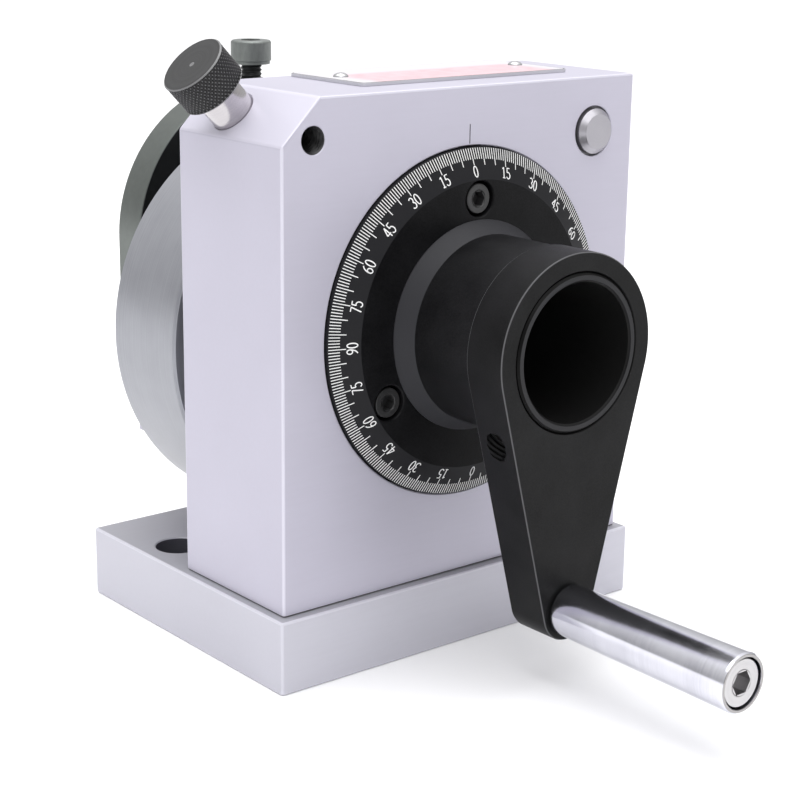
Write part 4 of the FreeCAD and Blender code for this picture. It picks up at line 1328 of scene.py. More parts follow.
@dataclass
class NamePlate:
    """Thin blank plate on the block's top: a bright border, a pale field and two domed rivets."""

    steels: Steels
    corner_radius: float = 1.5
    edge: float = 0.15
    border: float = 0.12
    gap: float = 0.4
    line_rise: float = 0.01
    field_rise: float = 0.03
    field_left: float = 6.0
    field_right: float = 5.2
    field_back: float = 13.0
    field_soft: float = 4.0
    rivet_inset: float = 5.5
    rivet_radius: float = 2.2
    rivet_dome: float = 1.2
    shank_radius: float = 1.2
    shank_length: float = 4.0

    def build(self) -> None:
        """Makes the plate, its field and its rivets."""
        low, high = low_of("name_plate"), high_of("name_plate")
        bright = GroundSteel("plate_border_metal", (0.62, 0.62, 0.65), (0.50, 0.50, 0.53), 0.3,
                             0.3).material()
        plate = self.slab("name_plate_border", low, high, 0.0, low.z, high.z, self.edge)
        settle(plate, "root", bright, ["name_plate"])
        dark = PlainPaint("plate_line_paint", (0.09, 0.08, 0.09), (0.05, 0.045, 0.05)).material()
        line = self.slab("name_plate_line", low, high, self.border, low.z + self.edge,
                         high.z + self.line_rise, 0.0)
        settle(line, "root", dark)
        across, inward = along_x(0.0, 0.0, 1.0), along_y(0.0, 0.0)
        clear = (0.60, 0.585, 0.62)
        rims = (Between(across, low.x - BEYOND, low.x + self.field_left, self.field_soft),
                Between(across, high.x - self.field_right, high.x + BEYOND, self.field_soft),
                Between(inward, high.y - self.field_back, high.y + BEYOND, self.field_soft))
        pale = PlainPaint("plate_pale_red", (0.63, 0.47, 0.51), (0.60, 0.40, 0.44),
                          touches=tuple(Touch(rim, clear) for rim in rims)).material()
        inner = self.slab("name_plate_field", low, high, self.border + self.gap, low.z + self.edge,
                          high.z + self.field_rise, 0.0)
        settle(inner, "root", pale)
        self.rivets(low, high)

    def slab(self, name: str, low: Vector, high: Vector, inset: float, bottom: float, top: float,
             edge: float) -> bpy.types.Object:
        """Makes a round-cornered slab inside the plate's outline.

        Args:
            name: name of the piece.
            low: lowest corner of the plate.
            high: highest corner of the plate.
            inset: distance in from the plate's outline.
            bottom: its underside.
            top: its top.
            edge: rounding of its edges.

        Returns:
            The slab.
        """
        corners = rectangle(low.x + inset, high.x - inset, low.y + inset, high.y - inset)
        outline = eased_outline(corners, self.corner_radius)
        return extruded(name, outline, Plane.TOP, bottom, top, edge)

    def rivets(self, low: Vector, high: Vector) -> None:
        """Makes the two rivets.

        Args:
            low: the name plate's lowest corner.
            high: its highest corner.
        """
        made = []
        middle = (low.y + high.y) / 2
        for x in (low.x + self.rivet_inset, high.x - self.rivet_inset):
            dome = [(self.rivet_radius * math.sin(a), high.z + self.rivet_dome * math.cos(a))
                    for a in [math.pi / 2 * step / 8 for step in range(9)]]
            profile = dome + [(self.shank_radius, high.z),
                              (self.shank_radius, high.z - self.shank_length),
                              (0.0, high.z - self.shank_length)]
            made.append(turned("rivet", profile, along_z(x, middle), 48))
        metal = GroundSteel("rivet_metal_bright", (0.60, 0.60, 0.61), (0.50, 0.50, 0.52), 0.22,
                            1.0).material()
        settle(joined("name_plate_rivets", made), "root", metal, ["plate_rivets"])


def eased_outline(corners: Sequence[Pair], radius: float, steps: int = 6) -> Profile:
    """Rounds the corners of a closed rectangle with arcs.

    Args:
        corners: its four corners, anticlockwise from the lowest.
        radius: radius of the arcs.
        steps: number of short edges in each arc.

    Returns:
        The rounded outline.
    """
    out: Profile = []
    signs = [(1, 1), (-1, 1), (-1, -1), (1, -1)]
    for quarter, (corner, sign) in enumerate(zip(corners, signs)):
        centre = (corner[0] + sign[0] * radius, corner[1] + sign[1] * radius)
        start = math.pi + quarter * math.pi / 2
        out += arc(centre, radius, start, start + math.pi / 2, steps)
    return out


class Digit(Enum):
    """Pen strokes of the dial's figures, as points in a cell half as wide as it is high."""

    ZERO = "0"
    ONE = "1"
    THREE = "3"
    FOUR = "4"
    FIVE = "5"
    SIX = "6"
    SEVEN = "7"
    NINE = "9"

    def strokes(self) -> list[Profile]:
        """Gives the strokes of the figure.

        Returns:
            The strokes.
        """
        if self is Digit.ZERO:
            return [bow((0.25, 0.5), 0.19, 0.46, 90.0, 450.0)]
        if self is Digit.ONE:
            return [[(0.27, 0.96), (0.27, 0.04)], [(0.12, 0.80), (0.27, 0.94)],
                    [(0.13, 0.03), (0.41, 0.03)]]
        if self is Digit.THREE:
            return [bow((0.22, 0.745), 0.17, 0.215, 150.0, -80.0),
                    bow((0.22, 0.28), 0.21, 0.245, 80.0, -150.0)]
        if self is Digit.FOUR:
            return [[(0.33, 0.95), (0.04, 0.30)], [(0.04, 0.29), (0.48, 0.29)],
                    [(0.34, 0.96), (0.34, 0.02)]]
        if self is Digit.FIVE:
            return [[(0.12, 0.94), (0.42, 0.94)], [(0.13, 0.95), (0.11, 0.56)],
                    bow((0.22, 0.31), 0.21, 0.28, 125.0, -150.0)]
        if self is Digit.SIX:
            return [bow((0.24, 0.28), 0.18, 0.24, 90.0, 450.0),
                    bow((0.44, 0.30), 0.38, 0.66, 100.0, 180.0)]
        if self is Digit.SEVEN:
            return [[(0.06, 0.94), (0.44, 0.94)], [(0.44, 0.94), (0.20, 0.02)]]
        return [[(0.5 - x, 1.0 - y) for x, y in stroke] for stroke in Digit.SIX.strokes()]


def bow(centre: Pair, wide: float, high: float, start_deg: float, end_deg: float,
        steps: int = 20) -> Profile:
    """Gives points on part of an ellipse.

    Args:
        centre: its centre.
        wide: half its width.
        high: half its height.
        start_deg: first angle in degrees.
        end_deg: last angle in degrees.
        steps: number of short edges.

    Returns:
        The points.
    """
    span = end_deg - start_deg
    angles = [math.radians(start_deg + span * step / steps) for step in range(steps + 1)]
    return [(centre[0] + wide * math.cos(angle),
             centre[1] + high * math.sin(angle)) for angle in angles]


@dataclass
class Dial:
    """Graduated dial with white marks and figures and three counterbored screws."""

    steels: Steels
    inner_radius: float = 21.82
    edge: float = 0.1
    face_radius: float = 41.3
    bevel_rise: float = 3.46
    screw_radius: float = 36.0
    screw_first_deg: float = 89.5
    counterbore_radius: float = 5.1
    counterbore_depth: float = 5.6
    screw_length: float = 13.1
    lip: float = 0.3
    offset_deg: float = -0.8
    rim: float = 0.14
    short_end: float = 3.15
    long_end: float = 4.75
    mark_width: float = 0.25
    mark_rise: float = 0.012
    mark_sink: float = 0.1
    figure_top: float = 45.15
    figure_height: float = 3.1
    figure_width_from: float = 3.35
    figure_gap: float = 0.12
    thin: float = 0.078
    thick: float = 0.10
    figure_step_deg: int = 15
    long_step_deg: int = 5
    # painted highlight: the bevelled band outside the flat face is coloured lighter than the face
    band_colour: Colour = (0.017, 0.017, 0.019)

    def build(self) -> None:
        """Makes the dial, its marks and its screws."""
        self.axis = along_y(0.0, CENTRE_Z)
        self.front = low_of("dial").y
        self.radius = high_of("dial").x
        self.disc()
        self.marks()
        self.screws()

    def screw_axes(self) -> list[Axis]:
        """Gives the lines of the three screws."""
        angles = [math.radians(self.screw_first_deg + 120.0 * k) for k in range(3)]
        return [along_y(self.screw_radius * math.cos(a),
                        CENTRE_Z + self.screw_radius * math.sin(a)) for a in angles]

    def level_at(self, radius: float) -> float:
        """Gives how far back the dial's surface is at a radius: a flat face inside a cone."""
        share = (radius - self.face_radius) / (self.radius - self.face_radius)
        return self.front + self.bevel_rise * max(0.0, share)

    def disc(self) -> None:
        """Makes the black disc."""
        back = high_of("dial").y
        shoulder = self.radius - self.edge
        profile = [(self.inner_radius, self.front), (self.face_radius, self.front),
                   (shoulder, self.level_at(shoulder)),
                   (self.radius, self.level_at(self.radius) + self.edge),
                   (self.radius, back), (self.inner_radius, back)]
        disc = turned("dial_disc", profile, self.axis, 2 * ROUND_SIDES)
        cutters = []
        for axis in self.screw_axes():
            floor = self.front + self.counterbore_depth
            cutters.append(hole(axis, self.counterbore_radius, self.front, floor, self.lip, 64))
            cutters.append(hole(axis, M5_CAP.shank_radius + self.lip, floor - BEYOND / 2,
                                back + BEYOND, 0.0, 48))
        # painted highlight: lighter colour on the bevelled band outside the flat face
        black = BlackOxide("dial_black", touches=(Touch(Outside(self.axis, self.face_radius),
                                                        self.band_colour),))
        settle(carve(disc, cutters), "spindle", black.material(), ["dial"], CRISP_DEG)

    def marks(self) -> None:
        """Makes the marks and figures as shallow white inlays in the dial's face."""
        maker = bmesh.new()
        for degree in range(360):
            end = self.long_end if degree % self.long_step_deg == 0 else self.short_end
            path = [(0.0, self.radius - self.rim), (0.0, self.radius - end)]
            self.inlay(maker, path, degree, self.mark_width, self.mark_width)
        for degree in range(0, 360, self.figure_step_deg):
            self.figure(maker, degree)
        white = PlainPaint("white_marks", (0.84, 0.84, 0.84), (0.76, 0.76, 0.76), 0.5).material()
        settle(new_piece("dial_marks", maker), "spindle", white)

    def figure(self, maker: bmesh.types.BMesh, degree: int) -> None:
        """Writes one number under its mark.

        Args:
            maker: mesh that takes the strokes.
            degree: place on the dial, clockwise from the top.
        """
        value = min(degree % 180, 180 - degree % 180)
        text = str(value)
        height, width = self.figure_height, self.figure_width_from
        start = -len(text) * width / 4 - (len(text) - 1) * self.figure_gap / 2
        for index, letter in enumerate(text):
            left = start + index * (width / 2 + self.figure_gap)
            for stroke in Digit(letter).strokes():
                path = [(left + x * width, self.figure_top - height + y * height) for x,
                        y in stroke]
                self.inlay(maker, path, degree, self.thin * width, self.thick * width)

    def inlay(self, maker: bmesh.types.BMesh, path: Profile, degree: int, thin: float,
              thick: float) -> None:
        """Adds one stroke as a shallow ribbon.

        Args:
            maker: mesh that takes it.
            path: points across and out from the dial's centre, in millimetres.
            degree: place on the dial, clockwise from the top.
            thin: width of the stroke where it runs across.
            thick: width where it runs outwards.
        """
        turn = math.radians(degree + self.offset_deg)
        rows = []
        for index, point in enumerate(path):
            before, after = path[max(index - 1, 0)], path[min(index + 1, len(path) - 1)]
            run = Vector(after) - Vector(before)
            run.normalize()
            half = (thin + (thick - thin) * abs(run.y)) / 2
            row = []
            for side, level in ((-1, -self.mark_rise), (1, -self.mark_rise), (1, self.mark_sink),
                                (-1, self.mark_sink)):
                across, out = point[0] - run.y * half * side, point[1] + run.x * half * side
                surface = self.level_at(math.hypot(across, out))
                row.append(maker.verts.new((across * math.cos(turn) + out * math.sin(turn),
                                            surface + level,
                                        CENTRE_Z + out * math.cos(turn) - across * math.sin(turn))))
            rows.append(row)
        for here, there in zip(rows, rows[1:]):
            for corner in range(4):
                after = (corner + 1) % 4
                maker.faces.new([here[corner], here[after], there[after], there[corner]])
        maker.faces.new(rows[0])
        maker.faces.new(rows[-1])

    def screws(self) -> None:
        """Makes the three screws."""
        seat = self.front + self.counterbore_depth
        made = [M5_CAP.build(axis, seat, self.screw_length) for axis in self.screw_axes()]
        settle(joined("dial_cap_screws", made), "spindle", self.steels.screw,
               ["dial_screws"])


@dataclass
class Crank:
    """Hub sleeve, hollow spindle, crank arm, turning handle and its bolt."""

    steels: Steels
    bore_radius: float = 19.35
    nose_radius: float = 21.8
    nose_edge: float = 0.6
    fit: float = 0.02
    collar_radius: float = 30.2
    collar_thickness: float = 0.4
    sleeve_radius: float = 26.8
    taper_length: float = 4.7
    edge: float = 0.25
    collar_edge: float = 0.1
    arm_edge: float = 0.45
    arm_lip: float = 0.55
    # width of the painted highlight along the arm's front and back edges
    arm_line: float = 0.32
    # painted highlight: lighter colour on the arm's edge chamfers
    line_colour: Colour = (0.10, 0.10, 0.105)
    # painted shade: darker colour deep in the spindle's bore and in the arm's set screw hole
    bore_colour: Colour = (0.009, 0.009, 0.009)
    # painted shade: near black in the gap ring between the arm and the spindle's nose
    gap_colour: Colour = (0.0015, 0.0015, 0.0015)
    # painted highlight: lighter colour on the collar and its taper, which face the key light
    taper_colour: Colour = (0.032, 0.032, 0.036)
    nose_colour: Colour = (0.028, 0.028, 0.030)
    arm_screw_past_hub: float = 8.0
    hub_radius: float = 27.4
    foot_radius: float = 9.0
    arm_screw_deg: float = 227.0
    arm_screw_radius: float = 3.5
    journal_radius: float = 40.0
    rear_journal_radius: float = 43.0
    rear_journal_start: float = 39.2
    flange_start: float = 49.0
    flange_thickness: float = 7.7
    flange_radius: float = 56.0
    rail_half_root: float = 25.0
    rail_half_top: float = 30.485
    rail_half_length: float = 45.0
    handle_arm_radius: float = 7.4
    handle_end_radius: float = 8.25
    handle_recess_radius: float = 7.0
    handle_recess_depth: float = 8.9
    handle_bore: float = 4.1
    handle_edge: float = 0.5
    handle_ring_colour: Colour = (0.34, 0.33, 0.33)
    bolt_back: float = 0.3

    def build(self) -> None:
        """Makes every piece of the turning spindle that shows, and the handle."""
        self.axis = along_y(0.0, CENTRE_Z)
        self.foot_z = centre_of("handle_sleeve").z
        self.sleeve()
        self.spindle()
        self.arm()
        self.handle()
        self.bolt()

    def sleeve(self) -> None:
        """Makes the hub sleeve with its tapered collar."""
        end, dial = low_of("hub_sleeve").y, high_of("hub_sleeve").y
        collar = dial - self.collar_thickness
        outer = [(self.nose_radius + self.fit, end), (self.sleeve_radius - self.edge, end),
                 (self.sleeve_radius, end + self.edge),
                 (self.sleeve_radius, collar - self.taper_length),
                 (self.collar_radius - self.collar_edge, collar),
                 (self.collar_radius, collar + self.collar_edge),
                 (self.collar_radius, dial), (self.nose_radius + self.fit, dial)]
        sleeve = turned("hub_sleeve_tube", outer, self.axis, 2 * ROUND_SIDES)
        # painted highlight on the collar and its taper
        taper = Touch(Between(self.axis, collar - self.taper_length, dial), self.taper_colour)
        grained = BlackOxide("black_oxide_grained", (0.013, 0.013, 0.014), (0.003, 0.003, 0.0035),
                             0.44, 0.12, 2300.0,
                             0.06, (taper,))
        settle(sleeve, "spindle", grained.material(), ["hub_sleeve"])

    def spindle(self) -> None:
        """Makes the hollow spindle with its flange and dovetail rail."""
        nose, journal = low_of("spindle").y, high_of("dial").y
        rail_end = high_of("spindle").y
        flange_end = self.flange_start + self.flange_thickness
        edge = self.nose_edge
        outer = [(self.bore_radius, nose + edge), (self.bore_radius + edge, nose),
                 (self.nose_radius - edge, nose), (self.nose_radius, nose + edge),
                 (self.nose_radius, journal),
                 (self.journal_radius, journal), (self.journal_radius, self.rear_journal_start),
                 (self.rear_journal_radius, self.rear_journal_start),
                 (self.rear_journal_radius, self.flange_start),
                 (self.flange_radius, self.flange_start), (self.flange_radius, flange_end),
                 (self.bore_radius, flange_end)]
        body = turned("spindle_body", outer, self.axis, 2 * ROUND_SIDES)
        # painted shade: dark colour deep in the bore and near black on the nose's outer chamfer,
        # the gap ring against the arm
        touches = (Touch(Between(self.axis, nose - BEYOND, nose + 0.05), self.nose_colour),
                   Touch(Inside(self.axis, self.bore_radius + edge / 2, nose + 0.05, rail_end),
                         self.bore_colour),
                   Touch(Outside(self.axis, self.nose_radius - edge, 0.05), self.gap_colour))
        black = BlackOxide("spindle_black", specular=0.1, speckle_depth=0.06,
                           touches=touches).material()
        settle(body, "spindle", black, ["spindle"])
        maker = bmesh.new()
        ends = []
        for z in (CENTRE_Z - self.rail_half_length, CENTRE_Z + self.rail_half_length):
            corners = [(-self.rail_half_root, flange_end), (self.rail_half_root, flange_end),
                       (self.rail_half_top, rail_end), (-self.rail_half_top, rail_end)]
            ends.append([maker.verts.new((x, y, z)) for x, y in corners])
            maker.faces.new(ends[-1])
        for index in range(4):
            after = (index + 1) % 4
            maker.faces.new([ends[0][index], ends[0][after], ends[1][after], ends[1][index]])
        rail = carve(new_piece("dovetail_rail", maker),
                     [hole(self.axis, self.bore_radius, flange_end - BEYOND, rail_end + BEYOND)])
        settle(rail, "spindle", self.steels.hidden)

    def arm(self) -> None:
        """Makes the teardrop arm with its bore and set screw hole."""
        low, high = low_of("crank_arm"), high_of("crank_arm")
        lean = math.asin((self.hub_radius - self.foot_radius) / (CENTRE_Z - self.foot_z))
        hub = arc((0.0, CENTRE_Z), self.hub_radius, -lean, math.pi + lean, 96)
        foot = arc((0.0, self.foot_z), self.foot_radius, math.pi + lean, FULL_TURN - lean, 32)
        arm = extruded("crank_arm_plate", hub + foot, Plane.FRONT, low.y, high.y, self.arm_edge)
        turn = math.radians(self.arm_screw_deg)
        screw = Axis(Vector((0.0, (low.y + high.y) / 2, CENTRE_Z)),
                     Vector((math.cos(turn), 0.0, math.sin(turn))),
                     Vector((0.0, 1.0, 0.0)))
        mouth = self.hub_radius + self.arm_screw_past_hub
        thread = Thread(1.25, 0.5, self.nose_radius, mouth)
        cutters = [hole(self.axis, self.nose_radius + self.fit, low.y, high.y + BEYOND,
                        self.arm_lip,
                        2 * ROUND_SIDES),
                   hole(along_y(0.0, self.foot_z), M8_CAP.shank_radius, low.y, high.y + BEYOND, 0.3,
                        48),
                   hole(screw, self.arm_screw_radius + 0.4, mouth, self.nose_radius - BEYOND / 4,
                        0.0, 48, thread,
                        0.2)]
        # painted highlight on the arm's edge chamfers; painted shade in the gap round the spindle
        # and in the set screw hole
        lines = [Touch(Between(self.axis, low.y + 0.05, low.y + self.arm_line), self.line_colour),
                 Touch(Between(self.axis, high.y - self.arm_line, high.y - 0.05), self.line_colour),
                 Touch(Inside(self.axis, self.nose_radius + self.arm_lip + 0.1, low.y + 0.04,
                              high.y),
                       self.gap_colour),
                 Touch(Inside(screw, self.arm_screw_radius + 0.5, self.nose_radius - BEYOND,
                              self.hub_radius - 0.8),
                       self.bore_colour)]
        black = BlackOxide("crank_black", (0.012, 0.012, 0.0125), (0.005, 0.005, 0.0053), 0.4, 0.10,
                           touches=tuple(lines))
        settle(carve(arm, cutters), "spindle", black.material(), ["crank_arm"])

    def handle(self) -> None:
        """Makes the tapered handle with its recessed end."""
        end, start = low_of("handle_sleeve").y, high_of("handle_sleeve").y
        floor = end + self.handle_recess_depth
        edge = self.handle_edge
        corners = [(self.handle_bore, start), (self.handle_arm_radius - edge, start),
                   (self.handle_arm_radius, start - edge),
                   (self.handle_end_radius, end + edge * 1.4),
                   (self.handle_end_radius - edge, end),
                   (self.handle_recess_radius + edge / 4, end),
                   (self.handle_recess_radius, end + edge / 4), (self.handle_recess_radius, floor),
                   (self.handle_bore, floor)]
        handle = turned("handle_grip", corners, along_y(0.0, self.foot_z))
        ring = Touch(Between(along_y(0.0, 0.0), end - BEYOND, end + edge / 4, 0.1),
                     self.handle_ring_colour)
        chrome = TurnedMetal("polished_handle", along_y(0.0, self.foot_z), (0.76, 0.76, 0.82),
                             (0.58, 0.58, 0.64),
                             0.17, 1.0, 3500.0, 0.003, 0.5, (ring,)).material()
        settle(handle, "handle", chrome, ["handle_sleeve"])

    def bolt(self) -> None:
        """Makes the bolt that the handle turns on."""
        seat = low_of("handle_sleeve").y + self.handle_recess_depth - self.bolt_back
        axis = along_y(0.0, self.foot_z)
        bolt = M8_CAP.build(axis, seat, high_of("handle_bolt").y - seat, 96)
        silver = TurnedMetal("bright_bolt", axis, (0.56, 0.55, 0.56), (0.44, 0.435, 0.44),
                             0.3).material()
        bolt.name = "handle_cap_screw"
        settle(bolt, "spindle", silver, ["handle_bolt"])


@dataclass
class Plunger:
    """Index plunger's bright housing and knurled knob."""

    steels: Steels
    housing_radius: float = 6.25
    housing_edge: float = 0.4
    housing_start: float = 51.0
    housing_end: float = 94.35
    housing_neck: float = 84.35
    nose_bore: float = 4.6
    stem_bore: float = 2.55
    knob_back: float = 92.85
    knob_front: float = 102.65
    knob_radius: float = 9.385
    knob_edge: float = 0.4
    knob_skin: float = 1.0
    recess_radius: float = 6.6
    cap: float = 2.9
    stem_radius: float = 2.5
    mark_radius: float = 0.9
    mark_depth: float = 0.35
    teeth: int = 47
    pitch: float = 1.45
    depth: float = 0.42
    row: float = 0.12
    sides: int = 564
    tip: float = 0.12
    # painted highlight: lighter colour on the knurl's tips and the knob's edges
    tip_colour: Colour = (0.15, 0.15, 0.155)
    # painted shade: darker colour over the knurled band, standing for its valleys
    valley_colour: Colour = (0.005, 0.005, 0.0055)
    face_light: Colour = (0.030, 0.030, 0.032)
    face_dark: Colour = (0.004, 0.004, 0.0045)

    def build(self) -> None:
        """Makes the housing and the knob."""
        self.housing()
        self.knob()

    def housing(self) -> None:
        """Makes the bright sleeve in the block's corner."""
        edge = self.housing_edge
        profile = [(self.nose_bore, self.housing_start), (self.housing_radius, self.housing_start),
                   (self.housing_radius, self.housing_end - edge),
                   (self.housing_radius - edge, self.housing_end),
                   (self.stem_bore, self.housing_end), (self.stem_bore, self.housing_neck),
                   (self.nose_bore, self.housing_neck)]
        steel = TurnedMetal("bright_housing", PLUNGER, (0.54, 0.52, 0.53), (0.46, 0.44, 0.45), 0.2,
                            1.0,
                            2500.0).material()
        settle(turned("plunger_sleeve", profile, PLUNGER), "root", steel,
               ["plunger_housing"])

    def knob(self) -> None:
        """Makes the knurled knob with turned faces and eased edges, dressed in a finish with
        painted highlights on the edges.
        """
        edge, back, front = self.knob_edge, self.knob_back, self.knob_front
        face = self.knob_radius - edge
        wall = split_rows([(self.knob_radius, back + edge), (self.knob_radius, front - edge)],
                          self.row)
        rows = math.ceil((front - back - 2 * edge) / self.row)
        profile = [(0.0, front - self.knob_skin), (self.stem_radius, front - self.knob_skin),
                   (self.stem_radius, front - self.cap), (self.recess_radius, front - self.cap),
                   (self.recess_radius, back), (face, back)]
        profile += wall[:rows] + [(self.knob_radius, front - edge)]
        profile += [(face, front), (self.mark_radius, front), (0.0, front - self.mark_depth)]
        knurl = Knurl(self.teeth, self.pitch, self.depth, back + edge, front - edge, face)
        knob = turned("plunger_knob", profile, PLUNGER, self.sides, knurl)
        settle(knob, "plunger", self.knob_finish(), ["index_knob"])

    def knob_finish(self) -> bpy.types.Material:
        """Makes the knob's black, with painted highlights on the knurl's tips and on its edges,
        painted shade over the knurled band and a grey turned face.

        Returns:
            The black.
        """
        back, front, edge = self.knob_back, self.knob_front, self.knob_edge
        # painted shade over the knurled band; painted highlights on the tips and edges
        touches = (Touch(Between(PLUNGER, back + edge, front - edge), self.valley_colour),
                   Touch(Outside(PLUNGER, self.knob_radius - self.tip, self.tip), self.tip_colour),
                   Touch(Between(PLUNGER, front - edge, front - 0.05, 0.02), self.tip_colour),
                   Touch(Between(PLUNGER, back + 0.05, back + edge, 0.02), self.tip_colour))
        return TurnedMetal("black_turned_knob", PLUNGER, self.face_light, self.face_dark, 0.38, 0.0,
                           2600.0, 0.02,
                           0.2, touches).material()


@dataclass
class StopPin:
    """Bevelled bright pin in the block's front face."""

    bevel: float = 1.5
    back_edge: float = 0.8

    def build(self) -> None:
        """Makes the pin."""
        low, high = low_of("stop_pin"), high_of("stop_pin")
        middle = centre_of("stop_pin")
        radius = high.x - middle.x
        axis = along_y(middle.x, middle.z)
        profile = [(0.0, low.y), (radius - self.bevel, low.y), (radius, low.y + self.bevel),
                   (radius, high.y - self.back_edge), (radius - self.back_edge, high.y),
                   (0.0, high.y)]
        silver = TurnedMetal("pale_stop_pin", axis, (0.43, 0.42, 0.45), (0.34, 0.33, 0.36), 0.34,
                             0.85).material()
        settle(turned("stop_pin_button", profile, axis), "stop_pin", silver,
               ["stop_pin"])


@dataclass
class VeeSlide:
    """Offset slide disc, its vee block and their screws."""

    steels: Steels
    edge: float = 0.8
    groove: tuple[Pair, ...] = ((-24.95, 56.4), (29.57, 56.4), (35.40, 66.5), (-30.78, 66.5))
    slot_half: float = 19.6
    slot_reach: float = 11.5
    pocket_x: float = -42.0
    pocket_half: float = 7.8
    pocket_end: float = 71.8
    pocket_reach: float = 20.3
    screw_y: float = 64.0
    screw_hole: float = 4.05
    screw_low: float = 49.7
    bush_radius: float = 7.0
    bush_start: float = 110.5
    gib_y: float = 61.45
    gib_radius: float = 2.5
    gib_start: float = 30.0
    gib_rows: tuple[float, ...] = (58.5, 84.5, 110.5)
    vee_screws: tuple[Pair, ...] = ((-27.0, 92.5), (27.0, 92.5), (-27.0, 51.5), (27.0, 51.5))
    vee_hole: float = 3.3
    vee_head: float = 5.3
    vee_seat: float = 73.1
    vee_screw_length: float = 26.9
    vee_thread_depth: float = 10.8
    vee_half: float = 30.0
    vee_apex: float = 72.5
    relief_half: float = 1.5
    relief_floor: float = 69.5
    bridge_rows: tuple[float, ...] = (75.5, 91.5)
    bridge_y: float = 105.75
    bridge_thread_depth: float = 9.8

    def build(self) -> None:
        """Makes the disc, the vee block and the screws between them."""
        self.disc()
        self.vee()
        screws = [M6_CAP.build(along_y(x, z), self.vee_seat, self.vee_screw_length) for x,
                  z in self.vee_screws]
        settle(joined("vee_cap_screws", screws), "slide", self.steels.screw,
               ["v_block_screws"])

    def disc(self) -> None:
        """Makes the disc with its dovetail groove, round-ended slot, pocket and holes."""
        low, high = low_of("slide_disc"), high_of("slide_disc")
        centre_z = (low.z + high.z) / 2
        axis = along_y(0.0, centre_z)
        radius, edge = high.x, self.edge
        profile = [(0.0, low.y), (radius - edge, low.y), (radius, low.y + edge),
                   (radius, high.y - edge),
                   (radius - edge, high.y), (0.0, high.y)]
        disc = turned("offset_slide", profile, axis, 2 * ROUND_SIDES)
        slot = arc((0.0, centre_z + self.slot_reach), self.slot_half, 0.0, math.pi, 48)
        slot += arc((0.0, centre_z - self.slot_reach), self.slot_half, math.pi, FULL_TURN, 48)
        pocket = rectangle(self.pocket_x - self.pocket_half, self.pocket_x + self.pocket_half,
                           low.y - BEYOND,
                           self.pocket_end)
        upright = along_z(self.pocket_x, self.screw_y)
        cutters = [extruded("cutter", self.groove, Plane.TOP, low.z - BEYOND, high.z + BEYOND),
                   extruded("cutter", slot, Plane.FRONT, low.y - BEYOND, high.y + BEYOND),
                   extruded("cutter", pocket, Plane.TOP, centre_z - self.pocket_reach,
                            centre_z + self.pocket_reach),
                   hole(upright, self.screw_hole, self.bush_start + BEYOND / 2, self.screw_low),
                   hole(upright, self.bush_radius, high.z, self.bush_start)]
        cutters += [hole(along_x(self.gib_y, z, 1.0), self.gib_radius, radius + BEYOND,
                         self.gib_start)
                    for z in self.gib_rows]
        for x, z in self.vee_screws:
            cutters.append(hole(along_y(x, z), self.vee_head, low.y - BEYOND, self.vee_seat))
            cutters.append(hole(along_y(x, z), self.vee_hole, high.y + BEYOND,
                                self.vee_seat - BEYOND / 2))
        bright = TurnedMetal("bright_slide", axis, (0.335, 0.34, 0.37), (0.25, 0.255, 0.28), 0.3,
                             0.5, 1500.0, 0.004)
        settle(carve(disc, cutters), "slide", bright.material(), ["slide_disc"])

    def vee(self) -> None:
        """Makes the vee block with its relief slot and threaded holes."""
        low, high = low_of("v_block"), high_of("v_block")
        lean = self.vee_apex + self.relief_half
        right = [(self.vee_half, high.z), (self.relief_half, lean),
                 (self.relief_half, self.relief_floor)]
        left = [(-x, z) for x, z in reversed(right)]
        outline = [(low.x, low.z), (high.x, low.z),
                   (high.x, high.z)] + right + left + [(low.x, high.z)]
        block = extruded("vee_block", outline, Plane.FRONT, low.y, high.y, self.edge / 2)
        cutters = [hole(along_y(x, z), M6_CAP.shank_radius, low.y - BEYOND,
                        low.y + self.vee_thread_depth)
                   for x, z in self.vee_screws]
        cutters += [hole(along_x(self.bridge_y, z, side), M6_CAP.shank_radius, high.x + BEYOND,
                         high.x - self.bridge_thread_depth) for side in (-1.0,
                                                                     1.0) for z in self.bridge_rows]
        settle(carve(block, cutters), "slide", self.steels.ground, ["v_block"])


